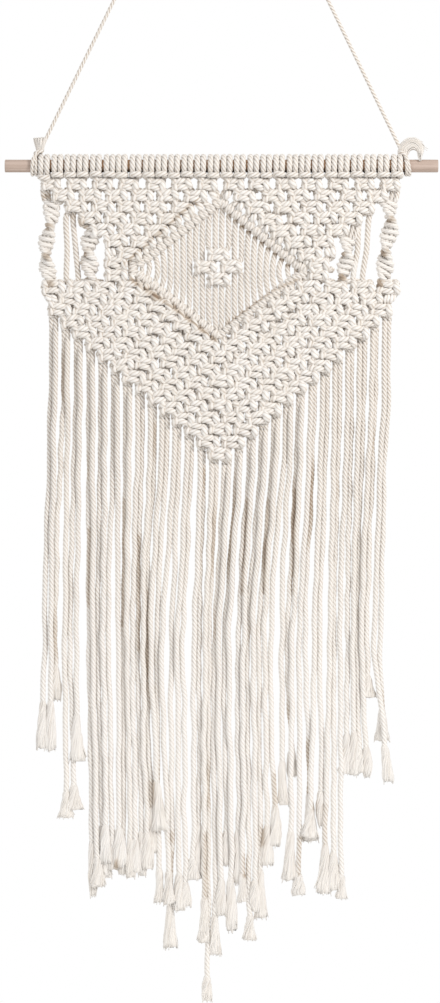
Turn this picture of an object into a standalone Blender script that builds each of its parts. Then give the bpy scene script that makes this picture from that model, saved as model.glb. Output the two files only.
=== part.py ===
"""A macrame wall hanging: a wooden dowel, a knotted cotton panel, its fringe and the cord it hangs by.

Everything is in metres. X runs along the dowel, the front faces -Y and Z is up. The origin is the nail
that holds the hanging cord's bend. A depth is how far a place lies below the dowel's axis.
The panel is knotted from 28 cords, each folded over the dowel, which makes 56 hanging strands.
"""

import math

import bmesh
import bpy
from mathutils import Vector

# The dowel, and how far its axis hangs below the nail.
DOWEL_LENGTH = 0.340
DOWEL_RADIUS = 0.005
DOWEL_END_ROUNDING = 0.0005
DOWEL_SIDES = 24
DOWEL_Z = -0.2936

# The cotton cord, and the clearance kept between pieces that touch.
CORD = 0.0047
CLEARANCE = 0.0003
STRANDS = 56
STRAND_RIDGE = 0.0044

# How the strands stand side by side: wide under the dowel, drawn in where the knots run full width.
PANEL_X = -0.001
TOP_PITCH = 0.00512
LOW_PITCH = 0.00484
NARROWS_FROM = 0.090
NARROWS_TO = 0.113

# Rows of square knots. Rows 0 to 8 lie beside the diamond, and rows 9 to 24 close below it in a V.
FIRST_ROW_DEPTH = 0.0145
UPPER_ROW_PITCH = 0.0089
LAST_UPPER_ROW = 8
V_FIRST_ROW = 11
V_LAST_ROW = 24
V_MIDDLE_DEPTH = 0.1028
V_MIDDLE_PITCH = 0.00942
V_RISE = 0.0102
V_RISE_LOSS = 0.000746
V_RISE_REACH = 0.0667
HEADER_DEPTH = 0.0072
OPEN_ROWS = (0, 1, 2, 3)
HOLE_HALF_WIDTH = 0.0021
CORNER_GAP = 0.0004
SHEET_THICKNESS = 0.0094
LOW_SHARE = 0.5
KNOT_TOP_WIDTH = 0.56
KNOT_TOP_HEIGHT = 0.42
KNOT_STRANDS = 4

# (row, first strands of its knots left of the middle); the right half mirrors them.
SHORT_ROWS = (
    (0, (0, 4, 8, 12, 16, 20, 24)),
    (1, (2, 6, 10, 14, 18, 22)),
    (2, (4, 8, 12, 16, 20)),
    (3, (6, 10, 14, 18)),
    (4, (8, 12, 16)),
    (5, (10, 14)),
    (6, (12,)),
    (7, (10,)),
    (8, (10,)),
    (9, (0, 4, 8, 12)),
    (10, (2, 6, 10, 14)),
    (11, (0, 4, 8, 12, 16)),
    (12, (2, 6, 10, 14, 18)),
    (13, (4, 8, 12, 16, 20)),
    (14, (6, 10, 14, 18, 22)),
)
FIRST_WHOLE_ROW = 15

# The heading of lark's head knots wraps the dowel.
HEADS = 28
HEAD_RADIUS = 0.0097
HEAD_VALLEY = 0.0083
HEAD_SIDES = 8

# The diamond of hitched bars: (x, depth) of its corners, clockwise from the top.
DIAMOND = ((-0.001, 0.0275), (0.0655, 0.0825), (-0.0025, 0.1342), (-0.0675, 0.0805))
BAR_RADIUS = 0.0042
BAR_WAIST = 0.8
BAR_RIDGES = 11
INNER_STRANDS = 26
INNER_PITCH = 0.00503
INNER_REACH = 0.0070
CLUSTER_TOP_DEPTH = 0.0700
CLUSTER_PITCH = 0.0094
CLUSTER_X = -0.0025

# Half-knot spirals and plain strands in the two side openings, left side first.
# (x at top, depth at top, x at foot, depth at foot, half turns)
SPIRALS = (
    (-0.1330, 0.0240, -0.1320, 0.0960, 3.4),
    (-0.1035, 0.0400, -0.1035, 0.0960, 2.6),
    (0.1325, 0.0240, 0.1245, 0.0960, 3.4),
    (0.0975, 0.0450, 0.0945, 0.0960, 2.4),
)
SPIRAL_WIDTH = 0.0135
SPIRAL_THICKNESS = 0.0080
SPIRAL_STEPS = 16
# (x at top, depth at top, x at foot, depth at foot)
PLAIN_STRANDS = (
    (-0.1215, 0.0300, -0.1210, 0.0980),
    (-0.1165, 0.0340, -0.1125, 0.0980),
    (0.1095, 0.0340, 0.1040, 0.0980),
    (0.1165, 0.0300, 0.1115, 0.0980),
)

# The fringe hangs from a narrow strip under the V's edge, in a front and a back layer.
STRIP_WIDTH = 0.0030
STRIP_CLEARANCE = 0.0004
LAYER_Y = 0.0026
MIDDLE_DEPTH = 0.380
FRAY_LENGTH = 0.026
FRAY_WIDTH = 0.0085
FRAY_TIP = 0.004
WAVE = 0.0004
WAVE_LENGTH = 0.11

# The cord's bend over the nail, and its tie at each end of the dowel.
ROPE_RADIUS = 0.0015
NAIL_BEND_RADIUS = 0.0035
BEND_POINTS = 9
LEG_POINTS = 12
TIE_KNOT_RADIUS = 0.0026
# Left and right: how far each leg leans, as x over depth, and its knot's (x, height over the dowel's axis).
LEG_LEANS = (-0.5062, 0.5014)
LEG_END_HEIGHT = 0.0150
TIE_KNOTS = ((-0.1466, 0.0106), (0.1420, 0.0129))
TIE_RING_X = (-0.1468, 0.1464)
# Tails of the ties: (x, height over the dowel's axis, radius) from the knot outwards.
LEFT_TAIL = (
    (-0.1466, 0.0115, 0.0020),
    (-0.1470, 0.0165, 0.0028),
    (-0.1442, 0.0228, 0.0042),
)
RIGHT_TAIL = (
    (0.1428, 0.0125, 0.0018),
    (0.1452, 0.0182, 0.0024),
    (0.1490, 0.0214, 0.0030),
    (0.1540, 0.0188, 0.0028),
    (0.1564, 0.0132, 0.0024),
    (0.1568, 0.0082, 0.0018),
)

# Each strand of the fringe, left to right, in millimetres: (x halfway down, x at its tip, depth of its tip).
FRINGE_MM = (
    (-139, -141, 458), (-134, -134, 460), (-131, -129, 420), (-123, -122, 512),
    (-119, -115, 506), (-114, -113, 468), (-104, -101, 574), (-101, -97, 566),
    (-97, -93, 560), (-93, -90, 548), (-89, -85, 553), (-81, -80, 551),
    (-77, -77, 557), (-74, -71, 559), (-70, -67, 555), (-66, -62, 558),
    (-62, -58, 552), (-59, -54, 540), (-56, -48, 522), (-51, -49, 579),
    (-47, -41, 580), (-39, -40, 615), (-35, -33, 585), (-30, -28, 582),
    (-22, -22, 561), (-17, -18, 560), (-13, -14, 610), (-10, -11, 656),
    (-6, -5, 620), (-2, -1, 589), (2, 4, 550), (6, 8, 601),
    (13, 13, 564), (17, 17, 578), (20, 22, 608), (25, 27, 586),
    (29, 31, 591), (34, 36, 550), (38, 42, 535), (47, 49, 502),
    (52, 56, 480), (56, 53, 562), (61, 61, 573), (66, 70, 531),
    (73, 69, 528), (77, 79, 519), (85, 80, 572), (88, 88, 570),
    (93, 94, 576), (99, 97, 478), (103, 104, 479), (106, 109, 477),
    (110, 114, 480), (114, 115, 418), (120, 131, 484), (125, 126, 452),
)

# The materials: (colour, roughness).
COTTON = ((0.83, 0.78, 0.70), 0.9)
PALE_WOOD = ((0.62, 0.46, 0.36), 0.6)


def material(name, look):
    colour, roughness = look
    made = bpy.data.materials.new(name)
    made.use_nodes = True
    shader = made.node_tree.nodes["Principled BSDF"]
    shader.inputs["Base Color"].default_value = (*colour, 1.0)
    shader.inputs["Roughness"].default_value = roughness
    shader.inputs["Metallic"].default_value = 0.0
    return made


def place(x, depth, y=0.0):
    """The world point at a depth below the dowel's axis."""
    return Vector((x, y, DOWEL_Z - depth))


def mesh_object(name, bm, collection):
    bmesh.ops.recalc_face_normals(bm, faces=bm.faces)
    mesh = bpy.data.meshes.new(name)
    bm.to_mesh(mesh)
    bm.free()
    made = bpy.data.objects.new(name, mesh)
    collection.objects.link(made)
    return made


def blend(low, high, share):
    return low + (high - low) * min(max(share, 0.0), 1.0)


def strand_x(border, depth):
    """Where the border between two strands hangs: border 0 is the left edge, and strand n lies at n + 0.5."""
    share = (depth - NARROWS_FROM) / (NARROWS_TO - NARROWS_FROM)
    return PANEL_X + blend(TOP_PITCH, LOW_PITCH, share) * (border - STRANDS / 2)


def row_depth(row, x):
    """The depth of a row of knots. Below the diamond the rows rise towards the middle."""
    if row <= LAST_UPPER_ROW:
        return FIRST_ROW_DEPTH + UPPER_ROW_PITCH * row
    step = row - V_FIRST_ROW
    rise = (V_RISE - V_RISE_LOSS * step) * min(abs(x - PANEL_X) / V_RISE_REACH, 1.0)
    return V_MIDDLE_DEPTH + V_MIDDLE_PITCH * step + rise


def line_depth(line, x):
    """The depth of the line between row line - 1 and row line."""
    if line < 0:
        return HEADER_DEPTH
    if line == 0:
        return row_depth(0, x) - UPPER_ROW_PITCH / 2
    if line > V_LAST_ROW:
        return row_depth(V_LAST_ROW, x) + V_MIDDLE_PITCH / 2
    return (row_depth(line - 1, x) + row_depth(line, x)) / 2


def panel_corner(line, border):
    rough_x = strand_x(border, line_depth(line, 0.1))
    depth = line_depth(line, rough_x)
    return strand_x(border, depth), depth


def cluster_corner(line, border):
    """The four-knot cluster in the middle of the diamond uses borders 24 to 32 on lines 0 to 3."""
    x = CLUSTER_X + TOP_PITCH * 0.9 * (border - STRANDS / 2)
    return x, CLUSTER_TOP_DEPTH + CLUSTER_PITCH * (line - 0.5)


def panel_knots():
    """(row, first strand) of every square knot of the panel."""
    knots = []
    for row, firsts in SHORT_ROWS:
        knots += [(row, first) for first in firsts]
        knots += [(row, STRANDS - KNOT_STRANDS - first) for first in firsts]
    for row in range(FIRST_WHOLE_ROW, V_LAST_ROW + 1):
        first = 2 * (row - V_FIRST_ROW)
        knots += [(row, at) for at in range(first, STRANDS - KNOT_STRANDS - first + 1, KNOT_STRANDS)]
    return knots


class KnotSheet:
    """A sheet of square knots, each raised over the strands that run between them.

    A knot covers two cells, each two strands wide. Neighbours in a row join at their sides, or leave
    a hole there in the open rows. Points are shared only between cells that share an edge.
    """

    def __init__(self, knots, corner_at, open_rows, plain_cells=()):
        self.corner_at = corner_at
        self.open_rows = open_rows
        self.cells = {(row, first + half): (row, first) for row, first in knots for half in (0, 2)}
        self.cells.update({cell: None for cell in plain_cells})
        self.bm = bmesh.new()
        self.bulk = self.bm.verts.layers.deform.verify()
        self.made = {}
        for row, first in knots:
            self.add_knot(row, first)
        for row, first in plain_cells:
            self.add_plain(row, first)

    def closed(self, row, border):
        """Whether the cells on both sides of a border join."""
        left = self.cells.get((row, border - 2), False)
        right = self.cells.get((row, border), False)
        if left is False or right is False:
            return False
        return left == right or row not in self.open_rows

    def point(self, key, x, depth, share):
        if key not in self.made:
            vert = self.bm.verts.new(place(x, depth))
            vert[self.bulk][0] = share
            self.made[key] = vert
        return self.made[key]

    def corner(self, line, border, cell, share=LOW_SHARE):
        """The point at a corner of a cell, one for each group of cells that share edges there."""
        ring = [(line - 1, border - 2), (line - 1, border), (line, border), (line, border - 2)]
        joins = [self.closed(line - 1, border), True, self.closed(line, border), True]
        group = {cell}
        for _ in ring:
            for here, after, join in zip(ring, ring[1:] + ring[:1], joins):
                if join and here in self.cells and after in self.cells and group & {here, after}:
                    group |= {here, after}
        x, depth = self.corner_at(line, border)
        if group != {near for near in ring if near in self.cells}:
            x += CORNER_GAP * sum(1 if near[1] == border else -1 for near in group) / len(group)
            depth += CORNER_GAP * sum(1 if near[0] == line else -1 for near in group) / len(group)
        return self.point((line, border, frozenset(group)), x, depth, share)

    def side(self, row, border, cell):
        """The point halfway down a cell's side, drawn back where there is a hole."""
        above = self.corner_at(row, border)
        below = self.corner_at(row + 1, border)
        x, depth = (above[0] + below[0]) / 2, (above[1] + below[1]) / 2
        if self.closed(row, border):
            return self.point(("side", row, border), x, depth, LOW_SHARE)
        if row in self.open_rows:
            x += HOLE_HALF_WIDTH if cell[1] == border else -HOLE_HALF_WIDTH
        return self.point(("side", row, border, cell), x, depth, LOW_SHARE)

    def add_knot(self, row, first):
        left, right = (row, first), (row, first + 2)
        ring = [
            self.corner(row, first, left),
            self.corner(row, first + 2, left),
            self.corner(row, first + 4, right),
            self.side(row, first + 4, right),
            self.corner(row + 1, first + 4, right),
            self.corner(row + 1, first + 2, left),
            self.corner(row + 1, first, left),
            self.side(row, first, left),
        ]
        middle = sum((vert.co for vert in ring), Vector()) / len(ring)
        half_width = (ring[2].co.x - ring[0].co.x) / 2
        half_height = (ring[1].co.z - ring[5].co.z) / 2
        top = []
        for across, up in ((-1, 1), (1, 1), (1, -1), (-1, -1)):
            x = middle.x + across * half_width * KNOT_TOP_WIDTH
            z = middle.z + up * half_height * KNOT_TOP_HEIGHT
            top.append(self.point((row, first, across, up), x, DOWEL_Z - z, 1.0))
        for corner, (before, here) in enumerate(((7, 0), (1, 2), (3, 4), (5, 6))):
            after = (here + 1) % len(ring)
            self.bm.faces.new((ring[before], top[corner], ring[here]))
            self.bm.faces.new((ring[here], top[corner], ring[after]))
            self.bm.faces.new((ring[after], top[corner], top[(corner + 1) % 4]))
        self.bm.faces.new(reversed(top))

    def add_plain(self, row, first):
        cell = (row, first)
        self.bm.faces.new(
            (
                self.corner(row, first, cell, 1.0),
                self.corner(row + 1, first, cell),
                self.corner(row + 1, first + 2, cell),
                self.corner(row, first + 2, cell, 1.0),
            )
        )

    def finish(self, name, collection):
        bmesh.ops.recalc_face_normals(self.bm, faces=self.bm.faces)
        mesh = bpy.data.meshes.new(name)
        self.bm.to_mesh(mesh)
        self.bm.free()
        made = bpy.data.objects.new(name, mesh)
        collection.objects.link(made)
        group = made.vertex_groups.new(name="bulk")
        solidify = made.modifiers.new("thickness", "SOLIDIFY")
        solidify.thickness = SHEET_THICKNESS
        solidify.offset = 0.0
        solidify.vertex_group = group.name
        return made


def add_ribbon(bm, stations):
    """A four-sided bar through stations of (point, width, thickness, turn about Z)."""
    rings = []
    for point, width, thickness, turn in stations:
        ring = []
        for side in range(4):
            across = math.cos(side * math.pi / 2) * width / 2
            deep = math.sin(side * math.pi / 2) * thickness / 2
            x = across * math.cos(turn) - deep * math.sin(turn)
            y = across * math.sin(turn) + deep * math.cos(turn)
            ring.append(bm.verts.new(point + Vector((x, y, 0.0))))
        rings.append(ring)
    for above, below in zip(rings, rings[1:]):
        for side in range(4):
            after = (side + 1) % 4
            bm.faces.new((above[side], above[after], below[after], below[side]))
    bm.faces.new(rings[0])
    bm.faces.new(reversed(rings[-1]))


def heading(helpers):
    """The ribbed sleeve that the lark's head knots make round the dowel."""
    width = TOP_PITCH * STRANDS / HEADS
    outer = []
    for head in range(HEADS):
        outer.append((HEAD_VALLEY, (HEADS / 2 - head) * width))
        outer.append((HEAD_RADIUS, (HEADS / 2 - head - 0.5) * width))
    outer.append((HEAD_VALLEY, -HEADS / 2 * width))
    bore = (DOWEL_RADIUS + CLEARANCE) / math.cos(math.pi / HEAD_SIDES)
    profile = outer + [(bore, -HEADS / 2 * width), (bore, HEADS / 2 * width)]
    bm = bmesh.new()
    points = [bm.verts.new((radius, 0.0, along)) for radius, along in profile]
    for here, after in zip(points, points[1:] + points[:1]):
        bm.edges.new((here, after))
    mesh = bpy.data.meshes.new("heading")
    bm.to_mesh(mesh)
    bm.free()
    made = bpy.data.objects.new("heading", mesh)
    helpers.objects.link(made)
    made.location = (PANEL_X, 0.0, DOWEL_Z)
    made.rotation_euler = (0.0, math.pi / 2, 0.0)
    screw = made.modifiers.new("turn", "SCREW")
    screw.steps = HEAD_SIDES
    screw.render_steps = HEAD_SIDES
    screw.use_merge_vertices = True
    screw.merge_threshold = 0.00001


def curve_tube(name, points, radii, depth, resolution, cyclic, collection):
    """A tube along points, made a mesh with welded caps."""
    data = bpy.data.curves.new(name, "CURVE")
    data.dimensions = "3D"
    data.bevel_depth = depth
    data.bevel_resolution = resolution
    data.use_fill_caps = True
    spline = data.splines.new("POLY")
    spline.points.add(len(points) - 1)
    for target, point, radius in zip(spline.points, points, radii):
        target.co = (*point, 1.0)
        target.radius = radius
    spline.use_cyclic_u = cyclic
    guide = bpy.data.objects.new(name + "_guide", data)
    collection.objects.link(guide)
    graph = bpy.context.evaluated_depsgraph_get()
    bm = bmesh.new()
    bm.from_mesh(bpy.data.meshes.new_from_object(guide.evaluated_get(graph)))
    bmesh.ops.remove_doubles(bm, verts=bm.verts, dist=0.00001)
    bpy.data.objects.remove(guide)
    return mesh_object(name, bm, collection)


def diamond_bars(helpers):
    """Four bars of hitches, each hitch a ridge across the bar."""
    points = []
    radii = []
    for start, end in zip(DIAMOND, DIAMOND[1:] + DIAMOND[:1]):
        for step in range(2 * BAR_RIDGES):
            share = step / (2 * BAR_RIDGES)
            points.append(place(blend(start[0], end[0], share), blend(start[1], end[1], share)))
            radii.append(BAR_WAIST if step % 2 else 1.0)
    curve_tube("diamond_bars", points, radii, BAR_RADIUS, 1, True, helpers)


def bar_depth(x, low):
    """The depth of the diamond's upper or lower bars at x."""
    top, right, bottom, left = DIAMOND
    middle = bottom if low else top
    side = right if x > middle[0] else left
    share = (x - middle[0]) / (side[0] - middle[0])
    return blend(middle[1], side[1], share)


def diamond_strands(bm):
    """Strands that run down through the diamond, from the knots above its bars to the knots below them."""
    for strand in range(INNER_STRANDS):
        x = CLUSTER_X + INNER_PITCH * (strand - (INNER_STRANDS - 1) / 2)
        top, foot = bar_depth(x, False) - INNER_REACH, bar_depth(x, True) + INNER_REACH
        ends = (place(x, top), place(x, foot))
        add_ribbon(bm, [(end, STRAND_RIDGE, STRAND_RIDGE, 0.0) for end in ends])


def side_openings(bm):
    """The twisted spirals, and the plain strands that hang between them."""
    for top_x, top, foot_x, foot, half_turns in SPIRALS:
        stations = []
        for step in range(SPIRAL_STEPS + 1):
            share = step / SPIRAL_STEPS
            point = place(blend(top_x, foot_x, share), blend(top, foot, share))
            stations.append((point, SPIRAL_WIDTH, SPIRAL_THICKNESS, share * half_turns * math.pi))
        add_ribbon(bm, stations)
    for top_x, top, foot_x, foot in PLAIN_STRANDS:
        ends = (place(top_x, top), place(foot_x, foot))
        add_ribbon(bm, [(end, STRAND_RIDGE, STRAND_RIDGE, 0.0) for end in ends])


def join(base, helpers):
    union = base.modifiers.new("join", "BOOLEAN")
    union.operation = "UNION"
    union.operand_type = "COLLECTION"
    union.collection = helpers
    union.solver = "EXACT"


def helper_collection(name):
    made = bpy.data.collections.new(name)
    bpy.context.scene.collection.children.link(made)
    return made


def hide_helpers(helpers):
    for helper in helpers.objects:
        helper.hide_render = True
        helper.display_type = "WIRE"


def macrame_panel(pieces, cotton):
    helpers = helper_collection("panel_members")
    heading(helpers)
    diamond_bars(helpers)
    bm = bmesh.new()
    diamond_strands(bm)
    side_openings(bm)
    mesh_object("hung_strands", bm, helpers)
    cluster = KnotSheet([(0, 26), (1, 24), (1, 28), (2, 26)], cluster_corner, ())
    cluster.finish("cluster", helpers)
    hide_helpers(helpers)
    header = [(-1, first) for first in range(0, STRANDS, 2)]
    panel = KnotSheet(panel_knots(), panel_corner, OPEN_ROWS, header).finish("macrame_panel", pieces)
    join(panel, helpers)
    panel.data.materials.append(cotton)


def strip_path():
    """The middle of the strip under the V: (x, depth) of its ends and of its two lower corners."""
    side_row, last_row = V_FIRST_ROW, V_LAST_ROW
    corners = (panel_corner(side_row + 1, 0), panel_corner(last_row + 1, 2 * (last_row - side_row)))
    (outer_x, outer), (inner_x, inner) = corners
    slope = math.atan2(inner - outer, inner_x - outer_x)
    off = STRIP_CLEARANCE + STRIP_WIDTH / 2
    turn = math.tan(slope / 2) * off
    below = inner + off
    half = PANEL_X - inner_x + turn
    start_x = outer_x - off * math.sin(slope)
    start = below - (PANEL_X - half - start_x) * math.tan(slope)
    return [
        (start_x, start),
        (PANEL_X - half, below),
        (PANEL_X + half, below),
        (2 * PANEL_X - start_x, start),
    ]


def strip_depth(x):
    path = strip_path()
    for (left_x, left), (right_x, right) in zip(path, path[1:]):
        if x <= right_x:
            break
    return blend(left, right, (x - left_x) / (right_x - left_x))


def fringe_strip(pieces):
    path = strip_path()
    slope = math.atan2(path[1][1] - path[0][1], path[1][0] - path[0][0])
    flat = STRIP_WIDTH / 2
    steep = flat / math.cos(slope)
    bm = bmesh.new()
    rows = []
    for number, (x, depth) in enumerate(path):
        half = steep if number in (0, 3) else flat
        shift = 0.0 if number in (0, 3) else math.tan(slope / 2) * flat * (1 if number == 1 else -1)
        rows.append((bm.verts.new(place(x + shift, depth - half)), bm.verts.new(place(x - shift, depth + half))))
    for (top, foot), (next_top, next_foot) in zip(rows, rows[1:]):
        bm.faces.new((top, foot, next_foot, next_top))
    strip = mesh_object("fringe", bm, pieces)
    solidify = strip.modifiers.new("thickness", "SOLIDIFY")
    solidify.thickness = CORD
    solidify.offset = 0.0
    return strip


def fray_width(strand):
    """How wide a strand's tip may flare without meeting the next tips of its layer."""
    here_x, here = FRINGE_MM[strand][1:]
    room = FRAY_WIDTH
    for other in (strand - 2, strand + 2):
        if 0 <= other < STRANDS:
            apart = abs(FRINGE_MM[other][1] - here_x) / 1000
            room = min(room, apart - 2 * CLEARANCE)
    return max(room, STRAND_RIDGE * 0.9)


def fringe_strand(bm, strand):
    middle_x, tip_x, tip = (value / 1000 for value in FRINGE_MM[strand])
    root_x = strand_x(strand + 0.5, NARROWS_TO)
    root = strip_depth(root_x)
    y = -LAYER_Y if strand % 2 else LAYER_Y
    fray = tip - FRAY_LENGTH
    wide = fray_width(strand)
    levels = (
        (root, STRAND_RIDGE),
        (blend(root, MIDDLE_DEPTH, 0.35), STRAND_RIDGE),
        (blend(root, MIDDLE_DEPTH, 0.7), STRAND_RIDGE),
        (blend(MIDDLE_DEPTH, fray, 0.5), STRAND_RIDGE),
        (fray, STRAND_RIDGE * 0.9),
        (tip - FRAY_TIP, wide),
        (tip, wide * 0.8),
    )
    stations = []
    for depth, width in levels:
        if depth < MIDDLE_DEPTH:
            share = (depth - root) / (MIDDLE_DEPTH - root)
            x = blend(root_x, middle_x, share * share * (3 - 2 * share))
        else:
            share = (depth - MIDDLE_DEPTH) / (tip - MIDDLE_DEPTH)
            x = blend(middle_x, tip_x, share)
        x += WAVE * math.sin(2 * math.pi * depth / WAVE_LENGTH + strand) * (depth > root)
        stations.append((place(x, depth, y), width, STRAND_RIDGE, 0.0))
    add_ribbon(bm, stations)


def fringe(pieces, cotton):
    helpers = helper_collection("fringe_members")
    bm = bmesh.new()
    for strand in range(STRANDS):
        fringe_strand(bm, strand)
    mesh_object("fringe_strands", bm, helpers)
    hide_helpers(helpers)
    strip = fringe_strip(pieces)
    join(strip, helpers)
    strip.data.materials.append(cotton)


def dowel(pieces, wood):
    bpy.ops.mesh.primitive_cylinder_add(vertices=DOWEL_SIDES, radius=DOWEL_RADIUS, depth=DOWEL_LENGTH)
    made = bpy.context.object
    made.name = "dowel"
    made.location = (0.0, 0.0, DOWEL_Z)
    made.rotation_euler = (0.0, math.pi / 2, 0.0)
    bevel = made.modifiers.new("end rounding", "BEVEL")
    bevel.width = DOWEL_END_ROUNDING
    bevel.segments = 1
    bevel.limit_method = "ANGLE"
    made.data.shade_smooth()
    made.data.set_sharp_from_angle(angle=math.radians(40))
    made.data.materials.append(wood)
    for home in list(made.users_collection):
        home.objects.unlink(made)
    pieces.objects.link(made)


def leg_end(side):
    """Where the cord stops, just short of the neck of a tie."""
    z = DOWEL_Z + LEG_END_HEIGHT
    return Vector((-z * LEG_LEANS[side], 0.0, z))


def hanging_cord(pieces, cotton):
    """One cord from tie to tie, bent over the nail at the origin."""
    left, right = leg_end(0), leg_end(1)
    tilts = []
    for end in (left, right):
        apart = math.asin(NAIL_BEND_RADIUS / end.length)
        tilts.append(math.atan2(abs(end.x), -end.z) - apart)
    start, stop = math.pi - tilts[0], tilts[1]
    bend = []
    for step in range(BEND_POINTS):
        angle = blend(start, stop, step / (BEND_POINTS - 1))
        bend.append(Vector((math.cos(angle), 0.0, math.sin(angle))) * NAIL_BEND_RADIUS)
    points = [left.lerp(bend[0], step / LEG_POINTS) for step in range(LEG_POINTS)]
    points += bend
    points += [right.lerp(bend[-1], step / LEG_POINTS) for step in reversed(range(LEG_POINTS))]
    made = curve_tube("hanging_cord", points, [1.0] * len(points), ROPE_RADIUS, 2, False, pieces)
    made.data.shade_smooth()
    made.data.materials.append(cotton)


def tie(name, side, tail, pieces, cotton):
    """The cord's end: one turn round the dowel, a knot on top and a frayed tail."""
    helpers = helper_collection(name + "_members")
    bm = bmesh.new()
    knot_x, knot_height = TIE_KNOTS[side]
    knot = place(knot_x, -knot_height)
    bmesh.ops.create_icosphere(bm, subdivisions=2, radius=TIE_KNOT_RADIUS)
    bmesh.ops.translate(bm, verts=bm.verts, vec=knot)
    mesh_object(name + "_knot", bm, helpers)
    tail_points = [place(x, -height) for x, height, radius in tail]
    tail_radii = [radius / ROPE_RADIUS for x, height, radius in tail]
    curve_tube(name + "_tail", tail_points, tail_radii, ROPE_RADIUS, 1, False, helpers)
    foot = place(TIE_RING_X[side], -DOWEL_RADIUS - CLEARANCE - ROPE_RADIUS)
    cord_end = leg_end(side)
    along = cord_end.normalized()
    neck = [foot, knot, cord_end + along * ROPE_RADIUS, cord_end + along * CLEARANCE]
    curve_tube(name + "_neck", neck, [1.0] * len(neck), ROPE_RADIUS, 2, False, helpers)
    hide_helpers(helpers)
    ring_radius = DOWEL_RADIUS + CLEARANCE + ROPE_RADIUS
    bpy.ops.mesh.primitive_torus_add(
        major_radius=ring_radius, minor_radius=ROPE_RADIUS, major_segments=20, minor_segments=8
    )
    ring = bpy.context.object
    ring.name = name
    ring.location = (TIE_RING_X[side], 0.0, DOWEL_Z)
    ring.rotation_euler = (0.0, math.pi / 2, 0.0)
    for home in list(ring.users_collection):
        home.objects.unlink(ring)
    pieces.objects.link(ring)
    join(ring, helpers)
    ring.data.materials.append(cotton)


def main():
    for old in list(bpy.data.objects):
        bpy.data.objects.remove(old, do_unlink=True)
    pieces = helper_collection("macrame_wall_hanging")
    cotton = material("cotton_cord", COTTON)
    wood = material("pale_wood", PALE_WOOD)
    dowel(pieces, wood)
    macrame_panel(pieces, cotton)
    fringe(pieces, cotton)
    hanging_cord(pieces, cotton)
    tie("left_tie", 0, LEFT_TAIL, pieces, cotton)
    tie("right_tie", 1, RIGHT_TAIL, pieces, cotton)


main()
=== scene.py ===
"""The looks of the macrame wall hanging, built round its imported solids.

Lengths are in millimetres until a mesh is made. x runs along the dowel, y points away from the viewer, and a
depth is how far a place lies below the dowel's axis. The hanging is 28 four-ply cords, each folded over the
dowel, and every cord is one sweep from tip to tip through all the knots that it makes. A strand is half of a
cord. A control row is (x, y, depth, radius), and its radius is a share of the cord's.
"""

import math

import bpy
import numpy as np
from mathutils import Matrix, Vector


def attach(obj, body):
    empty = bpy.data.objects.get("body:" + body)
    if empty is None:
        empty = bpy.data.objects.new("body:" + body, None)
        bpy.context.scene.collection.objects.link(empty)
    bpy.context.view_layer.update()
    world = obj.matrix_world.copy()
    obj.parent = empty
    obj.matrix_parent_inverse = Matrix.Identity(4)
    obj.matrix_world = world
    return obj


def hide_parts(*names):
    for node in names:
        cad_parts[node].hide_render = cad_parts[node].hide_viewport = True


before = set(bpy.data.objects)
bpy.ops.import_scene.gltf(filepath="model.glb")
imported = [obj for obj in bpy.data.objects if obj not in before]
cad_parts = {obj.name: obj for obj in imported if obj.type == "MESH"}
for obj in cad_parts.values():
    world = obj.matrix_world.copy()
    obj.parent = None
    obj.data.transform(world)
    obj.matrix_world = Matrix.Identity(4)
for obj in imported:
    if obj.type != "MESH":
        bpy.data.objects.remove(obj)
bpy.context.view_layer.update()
RANDOM = np.random.default_rng(7)
# The top of a random lag or turn.
LAG = 6.28

# Sizes shared with the solids, in millimetres.
DOWEL_Z = -293.6
DOWEL_RADIUS = 5.0
DOWEL_LENGTH = 340.0
CORD_RADIUS = 2.35
STRANDS = 56
CORDS = STRANDS // 2
PANEL_X = -1.0
TOP_PITCH, LOW_PITCH = 5.12, 4.84
NARROWS_FROM, NARROWS_TO = 90.0, 113.0
FIRST_ROW_DEPTH, UPPER_ROW_PITCH, LAST_UPPER_ROW = 14.5, 8.9, 8
V_FIRST_ROW, V_LAST_ROW = 11, 24
V_MIDDLE_DEPTH, V_MIDDLE_PITCH = 102.8, 9.42
V_RISE, V_RISE_LOSS, V_RISE_REACH = 10.2, 0.746, 66.7
KNOT_STRANDS = 4
# The rows over the whole ones, as the first strands of a side's first and last knots, which lie four apart.
SHORT_ROWS = (
    (0, 24), (2, 22), (4, 20), (6, 18), (8, 16), (10, 14), (12, 12), (10, 10), (10, 10), (0, 12), (2, 14),
    (0, 16), (2, 18), (4, 20), (6, 22),
)

# Half of a lark's head, from the middle of its bar round the dowel and down its front: (x from the middle, y,
# depth, radius). Its first rows are the bar, which hangs a little unevenly.
HEAD = (
    (0.0, -9.5, 7.4, 0.96), (1.7, -9.4, 7.2, 0.96), (3.0, -7.8, 7.2, 0.92), (3.3, -4.2, 7.9, 0.88),
    (3.0, 1.5, 8.0, 0.90), (2.7, 5.8, 5.0, 0.95), (2.4, 7.3, 0.0, 0.97), (2.36, 5.2, -5.2, 1.0),
    (2.36, 0.0, -7.4, 1.02), (2.34, -5.3, -5.3, 1.02), (2.32, -7.5, 0.0, 1.02), (2.3, -6.3, 4.0, 0.96),
    (2.4, -3.6, 7.8, 0.92),
)
HEAD_BAR_ROWS = 3

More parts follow.
